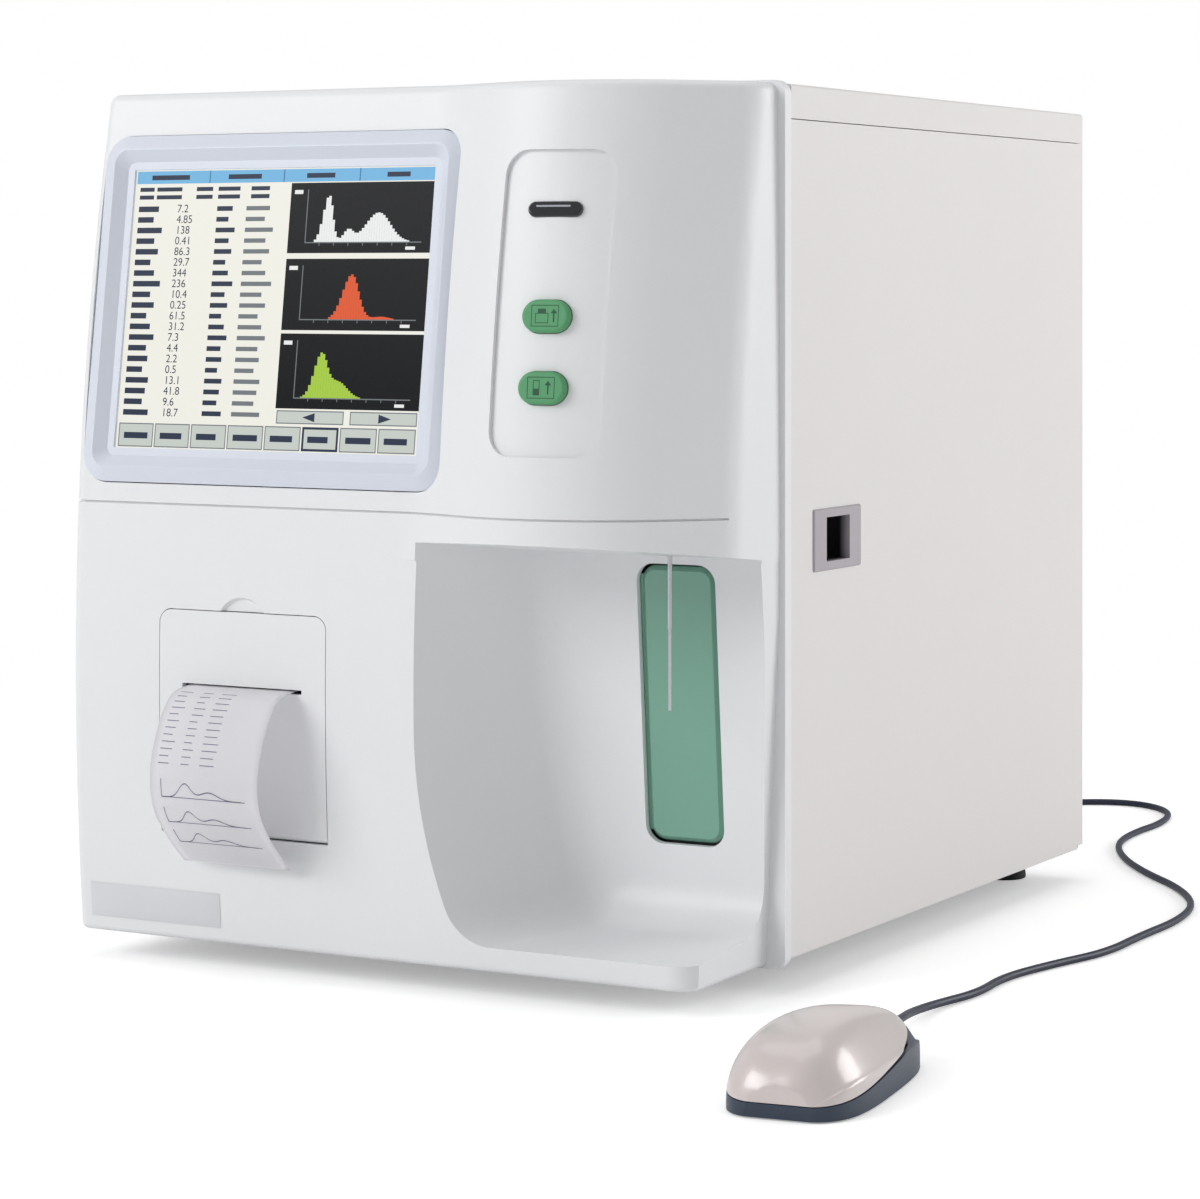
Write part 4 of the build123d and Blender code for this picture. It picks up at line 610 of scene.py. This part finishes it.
FIRST_LINE = 24.0
LINE_STEP = 3.2
HUMP = 6.5
widths = (9, 7, 8, 10, 7, 9, 8, 7, 10, 9, 7, 8)
for row, wide in enumerate(widths):
    s = FIRST_LINE + LINE_STEP * row
    dash(4, s, 4 + wide * 0.7, s)
    dash(16, s, 16 + widths[(row * 5) % 12] * 0.6, s)
    dash(26, s, 30 + widths[(row * 7) % 12] * 0.4, s)
for start in (66.0, 79.0, 92.0):
    dash(6, start + 8, 50, start + 8)
    dash(6, start, 6, start + 8)
    last = None
    for k in range(30):
        t = k / 29
        rise = math.exp(-((t - 0.3) / 0.1) ** 2) + 0.5 * math.exp(-((t - 0.6) / 0.15) ** 2)
        here = (6 + 42 * t, start + 8 - HUMP * rise)
        if last:
            (ua, sa), (ub, sb) = last, here
            corners = [(ua, sa - 0.25), (ub, sb - 0.25), (ub, sb + 0.25), (ua, sa + 0.25)]
            bm.faces.new([bm.verts.new(on_paper(u, v)) for u, v in corners])
        last = here
print_marks = piece("paper_print", bm, print_ink, "printer_door_body")
for made in (paper, print_marks):
    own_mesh(made)


# Mouse cord: out of the rear port, one coil behind the cabinet, round to the mouse

COIL_CENTRE = (24, 381)
COIL_START = -18
TURN_STEPS = 14


def coil_turns():
    """The coil's four turns, anticlockwise and from the upper layer to the lower one."""
    layers = [(17.6, 5.4), (21.2, 5.4), (21.2, 1.85), (17.6, 1.85)]
    points = []
    for turn, (radius, height) in enumerate(layers):
        following = layers[turn + 1] if turn < 3 else (21.0, 1.85)
        for k in range(TURN_STEPS):
            t = k / TURN_STEPS
            ease = max(0.0, (t - 0.7) / 0.3)
            r = radius + (following[0] - radius) * ease
            z = height + (following[1] - height) * ease
            a = math.radians(COIL_START) + 2 * math.pi * t
            points.append((COIL_CENTRE[0] + r * math.cos(a), COIL_CENTRE[1] + r * math.sin(a), z))
    return points


lead = [(70, 266, 58), (70, 286, 56.5), (67, 307, 49), (62, 326, 37), (56, 343, 23), (49.5, 358, 11)]
run = [
    (45.3, 392, 1.85),
    (48, 422, 1.85),
    (62, 458, 1.85),
    (97, 474, 1.85),
    (128, 451, 1.85),
    (139, 408, 1.85),
    (137, 364, 1.85),
    (143, 323, 1.85),
    (163, 280, 1.85),
    (190, 241, 1.85),
    (221, 206, 1.85),
    (244, 164, 1.85),
    (252, 118, 1.85),
    (250, 72, 1.85),
    (251, 26, 1.85),
    (240, -12, 1.85),
    (232, -52, 1.85),
    (236, -88, 1.85),
    (230, -120, 2.2),
    (232, -152, 4.4),
    (241.7, -183.7, 8.2),
    (244.5, -206.5, 9),
]
points = lead + coil_turns() + run
curve = bpy.data.curves.new("mouse_lead", "CURVE")
curve.dimensions = "3D"
curve.bevel_depth = CORD_DIAMETER / 2 * MM
curve.bevel_resolution = 5
curve.use_fill_caps = True
spline = curve.splines.new("NURBS")
spline.points.add(len(points) - 1)
for target, (x, y, z) in zip(spline.points, points):
    target.co = (x * MM, y * MM, z * MM, 1)
spline.order_u = 3
spline.use_endpoint_u = True
spline.resolution_u = 8
curve.materials.append(finish["cord_navy"])
cord = bpy.data.objects.new("mouse_lead", curve)
bpy.context.scene.collection.objects.link(cord)
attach(cord, "cabinet")
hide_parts("mouse_cord", "cord_coil")


# Floor, light and camera

def floor_material():
    """A pale floor that keeps the object's shadow and turns plain white to the camera further out."""
    material = bpy.data.materials.new("floor_white")
    material.use_nodes = True
    tree = material.node_tree
    shader = tree.nodes["Principled BSDF"]
    shader.inputs["Base Color"].default_value = (*linear((252, 252, 252)), 1)
    shader.inputs["Roughness"].default_value = 0.95
    shader.inputs["Specular IOR Level"].default_value = 0.1
    where = tree.nodes.new("ShaderNodeNewGeometry")
    reach = tree.nodes.new("ShaderNodeVectorMath")
    reach.operation = "LENGTH"
    tree.links.new(where.outputs["Position"], reach.inputs[0])
    fade = tree.nodes.new("ShaderNodeMapRange")
    fade.inputs["From Min"].default_value = 0.45
    fade.inputs["From Max"].default_value = 1.1
    tree.links.new(reach.outputs["Value"], fade.inputs["Value"])
    path = tree.nodes.new("ShaderNodeLightPath")
    seen = tree.nodes.new("ShaderNodeMath")
    seen.operation = "MULTIPLY"
    tree.links.new(path.outputs["Is Camera Ray"], seen.inputs[0])
    tree.links.new(fade.outputs["Result"], seen.inputs[1])
    white = tree.nodes.new("ShaderNodeEmission")
    white.inputs["Strength"].default_value = 1.0
    lift = tree.nodes.new("ShaderNodeMath")
    lift.operation = "MULTIPLY"
    lift.inputs[1].default_value = 0.32
    tree.links.new(path.outputs["Is Camera Ray"], lift.inputs[0])
    shader.inputs["Emission Color"].default_value = (1, 1, 1, 1)
    tree.links.new(lift.outputs["Value"], shader.inputs["Emission Strength"])
    mix = tree.nodes.new("ShaderNodeMixShader")
    tree.links.new(seen.outputs["Value"], mix.inputs["Fac"])
    tree.links.new(shader.outputs["BSDF"], mix.inputs[1])
    tree.links.new(white.outputs["Emission"], mix.inputs[2])
    tree.links.new(mix.outputs["Shader"], tree.nodes["Material Output"].inputs["Surface"])
    return material


bpy.ops.mesh.primitive_plane_add(size=30, location=(0, 0, 0))
floor = bpy.context.object
floor.name = "floor"
floor.data.materials.append(floor_material())
floor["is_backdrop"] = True

world = bpy.context.scene.world or bpy.data.worlds.new("studio")
bpy.context.scene.world = world
world.use_nodes = True
tree = world.node_tree
background = tree.nodes["Background"]
background.inputs["Color"].default_value = (1, 1, 1, 1)
background.inputs["Strength"].default_value = 0.42
seen = tree.nodes.new("ShaderNodeBackground")
seen.inputs["Color"].default_value = (1, 1, 1, 1)
seen.inputs["Strength"].default_value = 1.0
path = tree.nodes.new("ShaderNodeLightPath")
mixer = tree.nodes.new("ShaderNodeMixShader")
tree.links.new(path.outputs["Is Camera Ray"], mixer.inputs["Fac"])
tree.links.new(background.outputs["Background"], mixer.inputs[1])
tree.links.new(seen.outputs["Background"], mixer.inputs[2])
tree.links.new(mixer.outputs["Shader"], tree.nodes["World Output"].inputs["Surface"])


def lamp(name, place, aim, size, power):
    """A soft rectangular lamp that faces a point."""
    light = bpy.data.lights.new(name, "AREA")
    light.shape = "RECTANGLE"
    light.size, light.size_y = size
    light.energy = power
    made = bpy.data.objects.new(name, light)
    bpy.context.scene.collection.objects.link(made)
    made.location = place
    made.rotation_euler = (Vector(aim) - Vector(place)).to_track_quat("-Z", "Y").to_euler()
    return made


lamp("key_light", (-1.6, -2.4, 1.6), (0, -0.1, 0.2), (1.8, 1.4), 44)
lamp("side_light", (2.1, 1.8, 1.0), (0.1, 0.05, 0.2), (1.6, 1.4), 34)
lamp("top_light", (-0.2, 0.2, 2.4), (0, 0, 0), (2.0, 2.0), 12)

data = bpy.data.cameras.new("camera")
camera = bpy.data.objects.new("camera", data)
bpy.context.scene.collection.objects.link(camera)
camera.location = CAMERA_PLACE
camera.rotation_euler = (math.radians(90), 0, math.radians(CAMERA_TURN))
data.sensor_width = 36
data.lens = FOCAL_PIXELS / PHOTO_SIDE * data.sensor_width
data.shift_y = -(MIDDLE_PIXEL - HORIZON_PIXEL) / PHOTO_SIDE
data.clip_start = 0.01
data.clip_end = 50
bpy.context.scene.camera = camera
bpy.context.scene.view_settings.view_transform = "Standard"

low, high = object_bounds()
